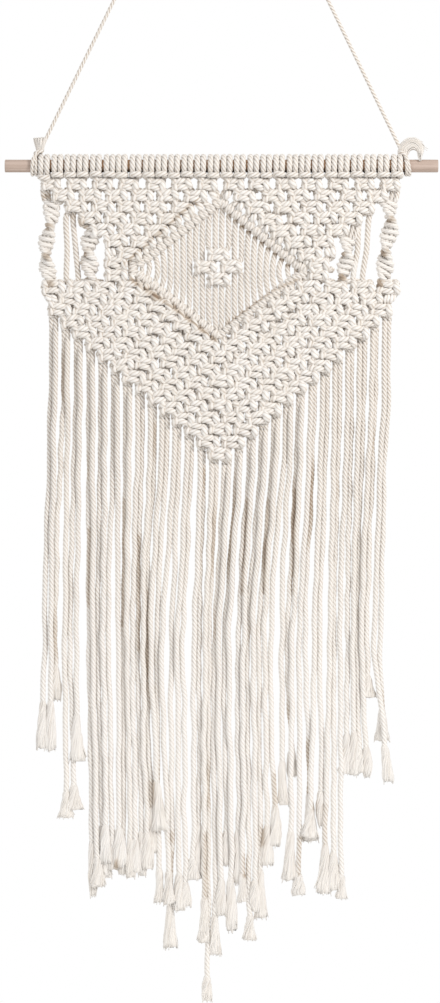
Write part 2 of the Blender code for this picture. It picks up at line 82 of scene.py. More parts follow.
# Knots beside the diamond's bars are pulled towards them: (inwards, down, how much wider), left and right.
UPPER_PULLS = ((0.9, 0.8, 1.08), (1.4, 0.9, 1.12))
LOWER_PULLS = ((1.0, -0.6, 1.08), (1.1, -0.6, 1.08))
BESIDE_BAR = {
    (1, 22): ((0.8, 0.4, 1.06), (1.2, 0.5, 1.10)),
    **dict.fromkeys(((2, 20), (3, 18), (4, 16), (5, 14)), UPPER_PULLS),
    (5, 10): ((0.0, 0.0, 1.0), (1.0, 0.0, 0.94)),
    (6, 12): ((0.9, 0.8, 1.08), (1.6, 0.9, 1.08)),
    (7, 10): ((-0.2, -0.4, 1.0), (4.4, -0.4, 0.84)),
    (8, 10): ((-0.2, -0.2, 1.0), (4.6, -0.2, 0.84)),
    (9, 12): ((0.8, -0.6, 1.08), (1.0, -0.6, 1.08)),
    **dict.fromkeys(((10, 14), (11, 16), (12, 18), (13, 20), (14, 22)), LOWER_PULLS),
}
NO_PULL = (0.0, 0.0, 1.0)
# How much narrower than its place a knot is drawn, by row: the gaps beside it are holes.
ROW_WIDTH = {0: 0.78, 1: 0.86, 2: 0.92, 3: 0.94, 4: 0.95}
UPPER_ROW_WIDTH, LOW_ROW_WIDTH = 0.96, 0.98
# A strand comes forward between two knots: how far, and the shortest and longest gap that it does so in.
BULGE = 2.8
BULGE_GAPS = (2.0, 16.0)

# The lay of the cord, which is one turn of its plies, the shortest and longest way between its rings, how far
# it may turn from one to the next, and the steps that its curve is first drawn in.
PLIES, LAY = 4, 14.3
STEPS = (0.95, 1.9)
TURN_A_STEP = 0.46
FINE_STEPS, BEND_REACH = 8, 7

# The diamond's corners as (x, depth). Each of its sides is hitched with 13 strands on one holding strand, and
# each hitch is wrapped round: (eighth of a turn, how far along the bar, in wrap steps).
DIAMOND = {"top": (-1.0, 27.5), "right": (65.5, 82.5), "bottom": (-2.5, 134.2), "left": (-70.0, 80.8)}
INNER = (*range(14, 27), *range(29, 42))
INNER_LAST, INNER_SIDE = len(INNER) - 1, len(INNER) // 2
HOLDING = {27: "left", 28: "right"}
HOLDING_STEPS = 12
INNER_PITCH = 5.03
WRAP_RADIUS = 2.6
WRAP_DEEPER = 1.1
WRAP_SCALE = 0.80
WRAP_STEP = 1.65
WRAP_EIGHTHS = 20
WRAP_COURSE = ((0, 6, 10, 14, 20), (-0.6, -1.0, 0.0, 1.0, 0.6))
CORNER_REACH = 11.0
CORNER_PARTING = {"left": 2.8, "right": 1.8}
CORNER_INSET = {"left": 0.6, "right": 0.9}
UPPER_APART, LOWER_APART = 2.3, 2.2
BELOW_BAR, ABOVE_BAR = 6.2, 6.0
LAST_INNER_X = 63.6
# The four small knots in its middle: (first inner strand, depth), and how far off their strands come in.
CLUSTER_X = -2.5
CLUSTER = ((11, 70.0), (9, 79.4), (13, 79.0), (11, 88.8))
CLUSTER_SIZE = 0.95
CLUSTER_EDGE = 5.2

# Half-knot spirals: (first strand, ((x, depth) of its middle, from top to foot), depth of the first place
# seen edge on, from one such place to the next, width).
SPIRALS = (
    (0, ((-133.2, 27.0), (-133.8, 42.0), (-137.4, 56.0), (-137.0, 78.0), (-134.6, 93.5)), 47.1, 22.8, 0.84),
    (6, ((-103.5, 50.0), (-103.6, 70.0), (-103.8, 93.0)), 49.2, 18.6, 0.96),
    (52, ((131.0, 26.0), (132.2, 50.0), (129.6, 67.0), (128.4, 79.0), (125.4, 93.5)), 41.0, 25.2, 0.92),
    (46, ((99.0, 56.0), (97.4, 78.0), (95.4, 92.5)), 67.5, 21.0, 0.84),
)
HALF_KNOT = 5.4
SPIRAL_PARTING = 0.6
SPIRAL_FILLER = (1.9, 0.74)
SPIRAL_REACH = 7.5
# Painted light on the spirals: how much of the way their relief is taken towards a paler, flatter value.
SPIRAL_PAINTED_LIGHT, SPIRAL_RELIEF = 0.6, 1.25
# Plain strands: x and depth at the top, x and depth at the foot.
PLAIN = {
    4: (-121.5, 38.0, -120.9, 92.0),
    5: (-116.4, 38.0, -112.7, 92.0),
    50: (109.5, 38.0, 104.2, 92.0),
    51: (116.5, 38.0, 111.3, 92.0),
}

# (x halfway down, x at its tip, depth of its tip) of each strand of the fringe.
FRINGE = (
    (-139, -141, 458), (-134, -134, 460), (-131, -129, 420), (-123, -122, 512),
    (-119, -115, 506), (-114, -113, 468), (-104, -101, 574), (-101, -97, 566),
    (-97, -93, 560), (-93, -90, 548), (-89, -85, 553), (-81, -80, 551),
    (-77, -77, 557), (-74, -71, 559), (-70, -67, 555), (-66, -62, 558),
    (-62, -58, 552), (-59, -54, 540), (-56, -48, 522), (-51, -49, 579),
    (-47, -41, 580), (-39, -40, 615), (-35, -33, 585), (-30, -28, 582),
    (-22, -22, 561), (-17, -18, 560), (-13, -14, 610), (-10, -11, 656),
    (-6, -5, 620), (-2, -1, 589), (2, 4, 550), (6, 8, 601),
    (13, 13, 564), (17, 17, 578), (20, 22, 608), (25, 27, 586),
    (29, 31, 591), (34, 36, 550), (38, 42, 535), (47, 49, 502),
    (52, 56, 480), (56, 53, 562), (61, 61, 573), (66, 70, 531),
    (73, 69, 528), (77, 79, 519), (85, 80, 572), (88, 88, 570),
    (93, 94, 576), (99, 97, 478), (103, 104, 479), (106, 109, 477),
    (110, 114, 480), (114, 115, 418), (120, 131, 484), (125, 126, 452),
)
MIDDLE_DEPTH = 380.0
FRINGE_STEP = 7.0
FRINGE_RADIUS = 0.94
# A strand's sway grows below its knot. A pair closes from a little above its root, and parts later.
SWAY_GROWS, SWAY_LENGTH = 60.0, 31.0
WAVE_SWING, WAVE_SIZES = 0.55, (((0.3, 1.0), (55, 95)), ((0.2, 0.7), (24, 42)))
PAIRS_CLOSE_FROM, PAIRS_CLOSE = -12.0, 14.0
PAIRS_PART = 160.0
# Strands nearer to each other than this part to the front and the back, over the first way below their root.
CROWDED = 4.6
LAYERS_PART = 16.0
LAYER_DEPTHS = np.arange(100.0, 660.0, 5.0)
LAYER_SMOOTH = 9
FAR = 99.0
FRINGE_FROM = 4.0
PANELS = 4
# The cords' plies show less where the fringe loosens and in the heading, and both are painted paler as
# painted light. The heading also lies in a little painted shade.
LOOSENS_FROM, LOOSENS_OVER, LOOSEST = 180.0, 260.0, 0.9
HEADING_DEPTH, HEADING_SOFT, HEADING_SHADE = 12.0, 0.5, 0.1
# The fringe's back strands lie in the shade of the front ones.
BEHIND_FROM, BEHIND_OVER, BEHIND_SHADE = 1.9, 0.3, 0.9

# The frayed ends: their length, how much of it lies below the twisted cord, the loose yarns and the core.
FRAY_LENGTH = (19.0, 47.0)
FRAY_FREE = 0.85
FRAY_OVERLAP = 4.0
# How strongly the painted shade lines darken the frayed ends.
FRAY_LINE_SHADE = 1.6
FRAY_PLACES, FRAY_FLATS = (0.0, 0.12, 0.45, 0.75, 1.0), (1.0, 0.95, 0.66, 0.52, 0.42)
YARNS = 15
CORE_SIDES = 22
FRAY_TURN = 2.4
# The frayed ends' shapes: the share of the ends up to each, and its radius at the five places.
FRAY_SHAPES = (
    (0.5, (1.4, 2.45, 3.0, 4.3, 6.4)),
    (0.85, (1.4, 2.5, 3.6, 4.5, 4.6)),
    (1.0, (1.4, 2.45, 3.4, 3.6, 2.4)),
)

# A square knot, in millimetres about its centre: (x, y, height, radius). The front cord crosses the fillers
# twice in front. The back cord crosses them twice behind, and its bump locks the front one on the right.
FRONT_CORD = (
    (6.6, -0.9, 4.1, 0.98), (5.2, -3.0, 3.1, 1.03), (2.4, -4.5, 2.6, 1.12), (-0.8, -5.0, 2.35, 1.14),
    (-4.0, -4.2, 2.0, 1.09), (-6.8, -2.6, 1.4, 1.03), (-7.9, -1.7, 0.0, 1.0), (-6.8, -2.6, -1.4, 1.03),
    (-4.0, -4.2, -2.0, 1.09), (-0.8, -5.0, -2.35, 1.14), (2.4, -4.5, -2.6, 1.12), (5.2, -2.8, -3.2, 1.03),
    (6.6, -0.5, -4.1, 0.98),
)
BACK_CORD = (
    (-6.9, -2.8, 4.3, 1.0), (-6.6, -4.9, 2.7, 1.12), (-5.8, -4.4, 1.0, 0.98), (-4.9, -0.8, 0.5, 0.82),
    (-4.2, 1.5, 0.5, 0.82), (-1.5, 3.6, 1.2, 0.88), (2.6, 3.6, 2.6, 0.88), (4.8, 0.9, 3.7, 0.85),
    (5.2, -2.8, 3.7, 0.98), (5.9, -5.0, 2.2, 1.12), (6.8, -5.8, 0.0, 1.2), (7.5, -5.0, -2.1, 1.12),
    (6.8, -2.6, -3.7, 0.98), (5.2, 0.9, -3.6, 0.85), (2.6, 3.6, -2.6, 0.88), (-1.5, 3.6, -1.2, 0.88),
    (-4.2, 1.5, -0.5, 0.82), (-4.9, -0.8, -0.5, 0.82), (-5.8, -4.4, -1.0, 0.98), (-6.6, -4.9, -2.7, 1.12),
    (-6.9, -2.8, -4.3, 1.0),
)
FILLER = ((2.5, 0.0, 2.4, 0.96), (2.6, -0.3, 0.0, 0.96), (2.5, 0.0, -2.4, 0.96))
# How far from a knot's centre its strands enter and leave it, the pitch of rows that it is drawn for, and how
# much each of its rows may be off.
KNOT_EDGE = 4.9
KNOT_PITCH = 9.3
KNOT_UNEVEN = (0.5, 0.45, 0.45, 0.045)

# Painted shade: brown spots where cords press together and shade each other: (x, depth, reach, how much).
SHADED = np.array((
    (-137.4, 24.3, 2.0, 1.8), (-136.2, 48.3, 2.4, 2.0), (-136.6, 70.7, 2.4, 2.0), (-133.8, 92.6, 2.4, 1.9),
    (-106.8, 69.1, 2.4, 2.1), (-110.3, 77.7, 1.8, 1.6), (-108.7, 83.2, 2.0, 1.9), (-106.0, 87.9, 2.0, 1.9),
    (-98.5, 90.3, 2.0, 0.9), (-115.0, 40.0, 1.8, 1.2), (-111.1, 44.0, 1.8, 1.3), (-106.4, 49.5, 2.0, 1.4),
    (-68.7, 90.7, 1.8, 1.2), (-59.3, 97.3, 2.2, 1.4), (-52.2, 103.6, 2.0, 1.2), (-38.1, 109.9, 2.0, 1.1),
    (-63.2, 65.9, 1.8, 1.1), (-31.8, 41.6, 1.8, 1.1), (-17.7, 29.8, 1.6, 0.9), (95.1, 68.7, 2.4, 2.1),
    (93.8, 88.7, 2.4, 2.1), (89.9, 62.8, 1.6, 1.0), (132.3, 43.2, 2.2, 1.9), (128.0, 68.7, 2.4, 2.0),
    (124.4, 92.6, 2.4, 1.9), (6.0, 38.2, 1.5, 0.9), (11.1, 42.5, 1.5, 1.2), (16.3, 46.9, 1.5, 1.5),
    (21.5, 51.3, 1.5, 1.6), (26.7, 55.6, 1.5, 1.4), (31.8, 60.0, 1.5, 1.7), (37.0, 64.3, 1.5, 1.4),
    (42.2, 68.7, 1.5, 1.7), (47.4, 73.1, 1.5, 1.6), (52.6, 77.4, 1.5, 1.5), (57.7, 81.8, 1.5, 1.2),
))

# Painted shade: brown lines where cords press on each other along the bars' edges and down the fringe's ends:
# (x, depth) of both ends, reach, how much.
SHADE_LINES = (
    (-19.0, 27.0, -77.0, 78.0, 1.2, 1.0), (-71.0, 89.5, -38.0, 111.0, 1.3, 1.4),
    (-38.0, 111.0, -5.0, 137.0, 1.3, 1.4), (3.0, 124.5, 41.0, 97.5, 1.0, 0.8),
    (41.0, 97.5, 59.0, 89.5, 1.0, 0.8), (-104.0, 285.0, -104.5, 345.0, 1.2, 1.1),
    (-76.6, 262.0, -78.0, 360.0, 1.2, 1.1), (-65.0, 290.0, -65.0, 380.0, 1.2, 1.1),
    (-58.0, 333.0, -58.0, 400.0, 1.2, 0.9), (20.0, 262.0, 16.0, 335.0, 1.2, 1.0),
    (36.5, 262.0, 33.0, 335.0, 1.2, 1.1), (57.5, 255.0, 55.5, 335.0, 1.2, 1.1),
    (-82.6, 546.0, -82.6, 550.0, 2.4, 0.7), (-54.9, 484.0, -54.9, 500.0, 2.4, 0.9),
    (-38.9, 524.0, -38.9, 530.0, 2.4, 0.8), (-12.5, 525.0, -12.5, 572.0, 2.4, 0.9),
    (18.7, 542.0, 18.7, 556.0, 2.4, 0.9), (31.6, 520.0, 31.6, 532.0, 2.4, 0.8),
    (41.7, 478.0, 41.7, 500.0, 2.4, 0.9), (61.3, 528.0, 61.3, 554.0, 2.4, 0.7),
    (73.4, 499.0, 73.4, 505.0, 2.4, 0.6), (81.5, 502.0, 81.5, 530.0, 2.4, 0.6),
)

# Half a spiral's knot in its own turned frame, from the side that it starts on: (x, y, height, radius).
HALF_FRONT = (
    (-5.7, -0.9, 2.3, 0.92), (-3.4, -2.2, 1.4, 0.88), (0.0, -2.5, 0.0, 0.86), (3.4, -2.2, -1.4, 0.88),
    (5.6, -0.7, -2.2, 0.92),
)
HALF_BACK = (
    (5.9, -1.5, 1.6, 0.92), (4.4, 0.6, 0.6, 0.84), (1.6, 2.2, 0.2, 0.8), (-1.6, 2.2, 0.0, 0.8),
    (-4.4, 0.6, -0.2, 0.84), (-5.9, -1.5, -1.2, 0.92),
)


def blend(low, high, share):
    return low + (high - low) * min(max(share, 0.0), 1.0)


def smooth(share):
    share = min(max(share, 0.0), 1.0)
    return share * share * (3 - 2 * share)


def unit(vector):
    return vector / np.linalg.norm(vector)


def strand_x(border, depth):
    """x of the border before a strand of this number, where the panel is as wide as at this depth."""
    share = (depth - NARROWS_FROM) / (NARROWS_TO - NARROWS_FROM)
    return PANEL_X + blend(TOP_PITCH, LOW_PITCH, share) * (border - STRANDS / 2)


def row_depth(row, x):
    """How deep a row of knots lies at x: the upper rows are level, and the V's rise to both sides."""
    if row <= LAST_UPPER_ROW:
        return FIRST_ROW_DEPTH + UPPER_ROW_PITCH * row
    step = row - V_FIRST_ROW
    rise = (V_RISE - V_RISE_LOSS * step) * min(abs(x - PANEL_X) / V_RISE_REACH, 1.0)
    return V_MIDDLE_DEPTH + V_MIDDLE_PITCH * step + rise


def panel_knots():
    """(row, first strand) of every square knot."""
    knots = []
    for row, (low, high) in enumerate(SHORT_ROWS):
        firsts = range(low, high + 1, KNOT_STRANDS)
        knots += [(row, first) for first in firsts]
        knots += [(row, STRANDS - KNOT_STRANDS - first) for first in firsts]
    for row in range(len(SHORT_ROWS), V_LAST_ROW + 1):
        first = 2 * (row - V_FIRST_ROW)
        knots += [(row, at) for at in range(first, STRANDS - KNOT_STRANDS - first + 1, KNOT_STRANDS)]
    return sorted(knots)


def inner_x(number):
    """Where strand number 0 to 25 of the diamond hangs."""
    return CLUSTER_X + INNER_PITCH * (number - INNER_LAST / 2)


def bar_place(x, low):
    """(depth, tangent along the way the bar is tied, upper normal) of a bar of the diamond at x."""
    side = "left" if x < (CLUSTER_X if low else PANEL_X) else "right"
    start, end = (DIAMOND[side], DIAMOND["bottom"]) if low else (DIAMOND["top"], DIAMOND[side])
    share = (x - start[0]) / (end[0] - start[0])
    depth = start[1] + (end[1] - start[1]) * share
    tangent = unit(np.array([end[0] - start[0], start[1] - end[1]]))
    corner = abs(DIAMOND[side][0] - x)
    if side == "left" and corner < CORNER_REACH:
        tangent = unit(tangent * corner / CORNER_REACH + np.array([0.0, -1.0]) * (1 - corner / CORNER_REACH))
    parting = CORNER_PARTING[side] * max(0.0, 1 - corner / CORNER_REACH) ** 2
    normal = np.array([-tangent[1], tangent[0]])
    if normal[1] < 0:
        normal = -normal
    return depth + (parting if low else -parting), tangent, normal


def square_knot(x, depth, position, spin, size, width, height):
    """Control rows (x, y, depth, radius) of one of a square knot's four strands."""
    table = {0: BACK_CORD, 1: FILLER, 2: FILLER, 3: FRONT_CORD}[position]
    rows = []
    for dx, dy, dz, radius in table + RANDOM.uniform(-1.0, 1.0, (len(table), 4)) * KNOT_UNEVEN:
        dx = -dx if position == 1 else dx
        dx, dz = dx * width * size, dz * height
        turned_x = dx * math.cos(spin) - dz * math.sin(spin)
        turned_z = dx * math.sin(spin) + dz * math.cos(spin)
        rows.append((x + turned_x, dy * size, depth - turned_z, radius))
    return rows


def hitch(x, low):
    """A double half hitch over a bar: over two turns, passing twice in front."""
    depth, tangent, normal = bar_place(x, low)
    rows = []
    for eighth in range(1, WRAP_EIGHTHS):
        angle = -math.pi * eighth / 4
        along = WRAP_STEP * np.interp(eighth, *WRAP_COURSE)
        offset = tangent * along + normal * WRAP_RADIUS * math.cos(angle)
        y = -WRAP_RADIUS * WRAP_DEEPER * math.sin(angle)
        rows.append((x + offset[0], y, depth - offset[1], WRAP_SCALE))
    return rows


def heading(strand):
    """From the middle of a lark's head's bar, round the dowel and down its front, to above the first row."""
    head, side = strand // 2, 1 if strand % 2 else -1
    x = strand_x(2 * head + 1, 0.0) + HEAD_JITTER[head]
    drops = [HEAD_DROP[head]] * HEAD_BAR_ROWS + [0.0] * (len(HEAD) - HEAD_BAR_ROWS)
    return [(x + side * dx, y, depth + drop, radius) for (dx, y, depth, radius), drop in zip(HEAD, drops)]


def spiral(position, middle, pinch, half_turn, width):
    """Control rows of one of the four strands of a half-knot spiral."""
    middle_x, depths = zip(*middle)
    top, foot = depths[0], depths[-1]
    count = round((foot - top) / HALF_KNOT)
    rows = []
    side = {0: -1, 3: 1}.get(position, 0)
    for knot in range(count):
        depth = blend(top, foot, (knot + 0.5) / count)
        turn = max(0.0, math.pi * (0.5 + (depth - pinch) / half_turn))
        # The knots lie a little apart where the spiral is seen edge on.
        depth += SPIRAL_PARTING * math.sin(2 * math.pi * (depth - pinch) / half_turn)
        x = np.interp(depth, depths, middle_x)
        if side == 0:
            reach, radius = SPIRAL_FILLER
            table = ((reach if position == 2 else -reach, 0.0, 0.0, radius),)
        else:
            table = HALF_FRONT if side < 0 else HALF_BACK
            side = -side
        for dx, dy, dz, radius in table:
            dx, dy = dx * width, dy * (0.5 + width / 2)
            row_x = x + dx * math.cos(turn) - dy * math.sin(turn)
            rows.append((row_x, dx * math.sin(turn) + dy * math.cos(turn), depth - dz, radius))
    return rows


def holding_cord(strand):
    """The strand that a side of the diamond is hitched on, from its last knot above to its first below."""
    side = HOLDING[strand]
    lean = -1 if side == "left" else 1
    top, corner, bottom = DIAMOND["top"], DIAMOND[side], DIAMOND["bottom"]
    rows = [(top[0] + lean * 2.2, -0.5, top[1] - 6.0, 0.9), (top[0] + lean * 2.0, -0.5, top[1] - 2.0, 0.9)]
    for start, end in ((top, corner), (corner, bottom)):
        for step in range(1, HOLDING_STEPS):
            share = step / HOLDING_STEPS
            rows.append((blend(start[0], end[0], share), 0.0, blend(start[1], end[1], share), 0.85))
        if end == corner:
            rows.append((corner[0], 0.0, corner[1], 0.9))
    rows.append((bottom[0] + lean * 1.6, 0.0, bottom[1] - 0.5, 0.9))
    return rows


def hanging_x(strand, root_x, root, depth):
    """Where along the dowel a strand of the fringe is at a depth."""
    middle_x, tip_x, tip = FRINGE[strand]
    below = depth - root
    if depth < MIDDLE_DEPTH:
        x = blend(root_x, middle_x, smooth(below / (MIDDLE_DEPTH - root)))
    else:
        x = blend(middle_x, tip_x, (depth - MIDDLE_DEPTH) / (tip - MIDDLE_DEPTH))
    grow = smooth(below / SWAY_GROWS)
    close, sway, length, lag, stays = PAIRS[strand // 2]
    closed = smooth((below - PAIRS_CLOSE_FROM) / PAIRS_CLOSE)
    together = close * closed * (1 - smooth((below - stays) / PAIRS_PART))
    x += together if strand % 2 == 0 else -together
    x += grow * sway * math.sin(2 * math.pi * depth / length + lag)
    return x + grow * sum(a * math.sin(2 * math.pi * depth / l + p) for a, l, p in WAVES[strand])


def fringe_root(strand):
    """(x, depth) of the last knot's foot on a strand."""
    row, first = [knot for knot in KNOTS if knot[1] <= strand < knot[1] + KNOT_STRANDS][-1]
    centre = strand_x(first + KNOT_STRANDS // 2, V_MIDDLE_DEPTH)
    depth = row_depth(row, centre) + KNOT_EDGE
    return strand_x(strand + 0.5, depth), depth


def fringe_layers():
    """How far each strand stands out of the fringe's plane, by depth: neighbours that crowd part to pass."""
    places = np.full((STRANDS, len(LAYER_DEPTHS)), np.nan)
    for strand in range(STRANDS):
        root_x, root = fringe_root(strand)
        for at, depth in enumerate(LAYER_DEPTHS):
            if root <= depth <= FRINGE[strand][2]:
                places[strand, at] = hanging_x(strand, root_x, root, depth)
    gaps = np.nan_to_num(np.diff(places, axis=0), nan=FAR)
    gaps = np.pad(gaps, ((1, 1), (0, 0)), constant_values=FAR)
    nearest = np.minimum(gaps[:-1], gaps[1:])
    out = 0.5 * np.sqrt(np.clip(CROWDED**2 - np.clip(nearest, 0.0, None) ** 2, 0.0, None))
    kernel = np.hanning(LAYER_SMOOTH)
    kernel /= kernel.sum()
    out = np.pad(out, ((0, 0), (LAYER_SMOOTH // 2, LAYER_SMOOTH // 2)), mode="edge")
    out = np.array([np.convolve(row, kernel, mode="valid") for row in out])
    # Every other strand goes to the back, and the order changes over at each quarter of the fringe.
    strands = np.arange(STRANDS)
    sides = np.where((strands + strands // (STRANDS // 4)) % 2 == 1, -1.0, 1.0)
    return out * sides[:, None]


def fringe(strand, root_x, root):
    """Control rows of a strand of the fringe, from its root to where it frays."""
    end = FRINGE[strand][2] - FRAYS[strand] * FRAY_FREE
    rows = []
    depth = root
    while depth < end:
        share = smooth((depth - root) / LAYERS_PART)
        sway = SWAYS[strand] * math.sin(depth / SWAY_LENGTH + strand)
        y = share * (np.interp(depth, LAYER_DEPTHS, LAYERS[strand]) + sway)
        rows.append((hanging_x(strand, root_x, root, depth), y, depth, 1.0))
        depth += FRINGE_STEP
    x, y, depth = rows[-1][:3]
    return rows + [(x, y, depth + 3.0, 0.8)]


def bulge(last, following):
    """What fills a wide gap between two knots: the strand comes forward in it."""
    gap = following[2] - last[2]
    if not BULGE_GAPS[0] <= gap <= BULGE_GAPS[1]:
        return []
    forward = BULGE * min(1.6, gap / 5.0)
    return [(blend(last[0], following[0], 0.5), -forward, last[2] + gap * 0.5, 1.0 + 0.03 * min(gap, 8.0))]


def strand_rows(strand):
    """Control rows of a strand from its lark's head to where it frays, and its fringe's first depth."""
    rows = heading(strand)
    passed_diamond = False
    for row, first in KNOTS:
        if not first <= strand < first + KNOT_STRANDS:
            continue
        if row > LAST_UPPER_ROW and not passed_diamond:
            passed_diamond = True
            rows = beside_diamond(strand, rows)
        middle = first + KNOT_STRANDS // 2
        x = strand_x(middle, row_depth(row, 0.0))
        x = strand_x(middle, row_depth(row, x))
        depth = row_depth(row, x)
        dx, dz, dy, spin, size = KNOT_JITTER[row, first]
        pitch = UPPER_ROW_PITCH if row <= LAST_UPPER_ROW else V_MIDDLE_PITCH
        width = ROW_WIDTH.get(row, UPPER_ROW_WIDTH if row <= LAST_UPPER_ROW else LOW_ROW_WIDTH)
        on_left = middle < STRANDS / 2
        pulls = BESIDE_BAR.get((row, min(first, STRANDS - KNOT_STRANDS - first)), (NO_PULL, NO_PULL))
        inwards, down, wider = pulls[0 if on_left else 1]
        dx += inwards if on_left else -inwards
        dz += down
        entry_x = blend(strand_x(strand + 0.5, depth), x, 0.2)
        at_entry = (entry_x, 0.0, depth - KNOT_EDGE, 0.95)
        at_exit = (entry_x, 0.0, depth + KNOT_EDGE, 0.95)
        body = square_knot(x + dx, depth + dz, strand - first, spin, size, width * wider, pitch / KNOT_PITCH)
        body = [(bx, by + dy, bz, br) for bx, by, bz, br in body]
        rows += bulge(rows[-1], at_entry) + [at_entry, *body, at_exit]
    root = rows[-1][2]
    return rows + fringe(strand, *fringe_root(strand)), root


def beside_diamond(strand, rows):
    """A strand's rows, carried on through the diamond or the opening beside it."""
    if strand in INNER:
        crossing = through_diamond(INNER.index(strand))
        return rows + bulge(rows[-1], crossing[0]) + crossing
    if strand in HOLDING:
        return rows + holding_cord(strand)
    if strand in PLAIN:
        top_x, top, foot_x, foot = PLAIN[strand]
        places = ((top_x, top), ((top_x + foot_x) / 2, (top + foot) / 2), (foot_x, foot))
        return rows + [(x, 0.0, depth, 1.0) for x, depth in places]
    for first, *turns in SPIRALS:
        if first <= strand < first + KNOT_STRANDS:
            return rows + spiral(strand - first, *turns)
    return rows


def through_diamond(inner):
    """From the upper bar's hitch to the lower bar's, by way of the small knots that take this strand."""
    side, sign = ("left", -1) if inner < INNER_SIDE else ("right", 1)
    share = min(inner, INNER_LAST - inner) / (INNER_SIDE - 1)
    start = DIAMOND[side][0] - sign * CORNER_INSET[side]
    upper_x = blend(start, PANEL_X + sign * UPPER_APART, share)
    lower_x = blend(start, CLUSTER_X + sign * LOWER_APART, share)
    x = LAST_INNER_X if inner == INNER_LAST else inner_x(inner)
    rows = hitch(upper_x, False)
    below = bar_place(upper_x, False)[0] + BELOW_BAR
    foot = bar_place(lower_x, True)[0] - ABOVE_BAR
    if foot > below + 3.0:
        rows.append((blend(upper_x, x, 0.6), 2.2, below, 0.95))
    for first, depth in CLUSTER:
        if first <= inner < first + KNOT_STRANDS:
            centre = inner_x(first + (KNOT_STRANDS - 1) / 2)
            knot = square_knot(centre, depth, inner - first, 0.0, CLUSTER_SIZE, 0.96, 0.98)
            rows += [(x, 0.0, depth - CLUSTER_EDGE, 0.95), *knot, (x, 0.0, depth + CLUSTER_EDGE, 0.95)]
    top = rows[-1][2]
    if foot - top > 9.0:
        rows += [(x, 0.0, blend(top, foot, part), 1.0) for part in (0.3, 0.8)]
    return rows + hitch(lower_x, True)


def curve_through(rows, steps=STEPS):
    """Points on a smooth curve through control rows, with a radius each, closer together where it bends."""
    rows = np.array(rows, float)
    keep = np.r_[True, np.linalg.norm(np.diff(rows[:, :3], axis=0), axis=1) > 0.05]
    rows = rows[keep]
    gaps = np.sqrt(np.linalg.norm(np.diff(rows[:, :3], axis=0), axis=1))
    slopes = np.diff(rows, axis=0) / gaps[:, None]
    weight = (gaps[1:] / (gaps[1:] + gaps[:-1]))[:, None]
    tangents = np.vstack([slopes[:1], slopes[:-1] * weight + slopes[1:] * (1 - weight), slopes[-1:]])
    t = (np.arange(FINE_STEPS) / FINE_STEPS)[None, :, None]
    a, b = rows[:-1, None, :], rows[1:, None, :]
    ta, tb = (tangents[:-1] * gaps[:, None])[:, None, :], (tangents[1:] * gaps[:, None])[:, None, :]
    fine = (2 * t**3 - 3 * t**2 + 1) * a + (t**3 - 2 * t**2 + t) * ta
    fine = fine + (-2 * t**3 + 3 * t**2) * b + (t**3 - t**2) * tb
    fine = np.vstack([fine.reshape(-1, rows.shape[1]), rows[-1]])
    ways = np.diff(fine[:, :3], axis=0)
    lengths = np.linalg.norm(ways, axis=1)
    along = np.r_[0, np.cumsum(lengths)]
    ways /= np.maximum(lengths, 1e-9)[:, None]
    bends = np.r_[0, np.arccos(np.clip((ways[1:] * ways[:-1]).sum(1), -1, 1)), 0]
    bends = np.convolve(bends, np.ones(BEND_REACH), mode="same")
    reach = np.convolve(np.gradient(along), np.ones(BEND_REACH), mode="same")
    steps = np.clip(TURN_A_STEP * reach / np.maximum(bends, 1e-6), *steps)
    rings = np.r_[0, np.cumsum(lengths * 2 / (steps[1:] + steps[:-1]))]
    count = max(2, int(round(rings[-1])) + 1)
    at = np.interp(np.linspace(0, rings[-1], count), rings, along)
    return np.stack([np.interp(at, along, fine[:, k]) for k in range(fine.shape[1])], 1), at


def mirrored(vector, way):
    """A vector mirrored in the plane across a way."""
    square = way[0] * way[0] + way[1] * way[1] + way[2] * way[2]
    if square < 1e-12:
        return vector
    k = 2 * (way[0] * vector[0] + way[1] * vector[1] + way[2] * vector[2]) / square
    return vector[0] - k * way[0], vector[1] - k * way[1], vector[2] - k * way[2]


def turning_frames(points):
    """Two unit vectors across the curve at each point, turning as little as they can."""
    tangents = np.gradient(points, axis=0)
    tangents /= np.linalg.norm(tangents, axis=1)[:, None]
    across = [tuple(unit(np.cross(tangents[0], (0.3, 1.0, 0.2))))]
    ways, headings = np.diff(points, axis=0).tolist(), tangents.tolist()
    for way, tangent, following in zip(ways, headings, headings[1:]):
        turned, tangent = mirrored(across[-1], way), mirrored(tangent, way)
        across.append(mirrored(turned, [b - a for a, b in zip(tangent, following)]))
    across = np.array(across)
    across -= (across * tangents).sum(1)[:, None] * tangents
    across /= np.linalg.norm(across, axis=1)[:, None]
    return across, np.cross(tangents, across)


# The section of a ply as (share of the way round it, radius): its valley and its two shoulders.
PLY = ((-0.5, 0.68), (-0.19, 1.0), (0.19, 1.0))


def add_object(name, data):
    made = bpy.data.objects.new(name, data)
    bpy.context.scene.collection.objects.link(made)
    return made


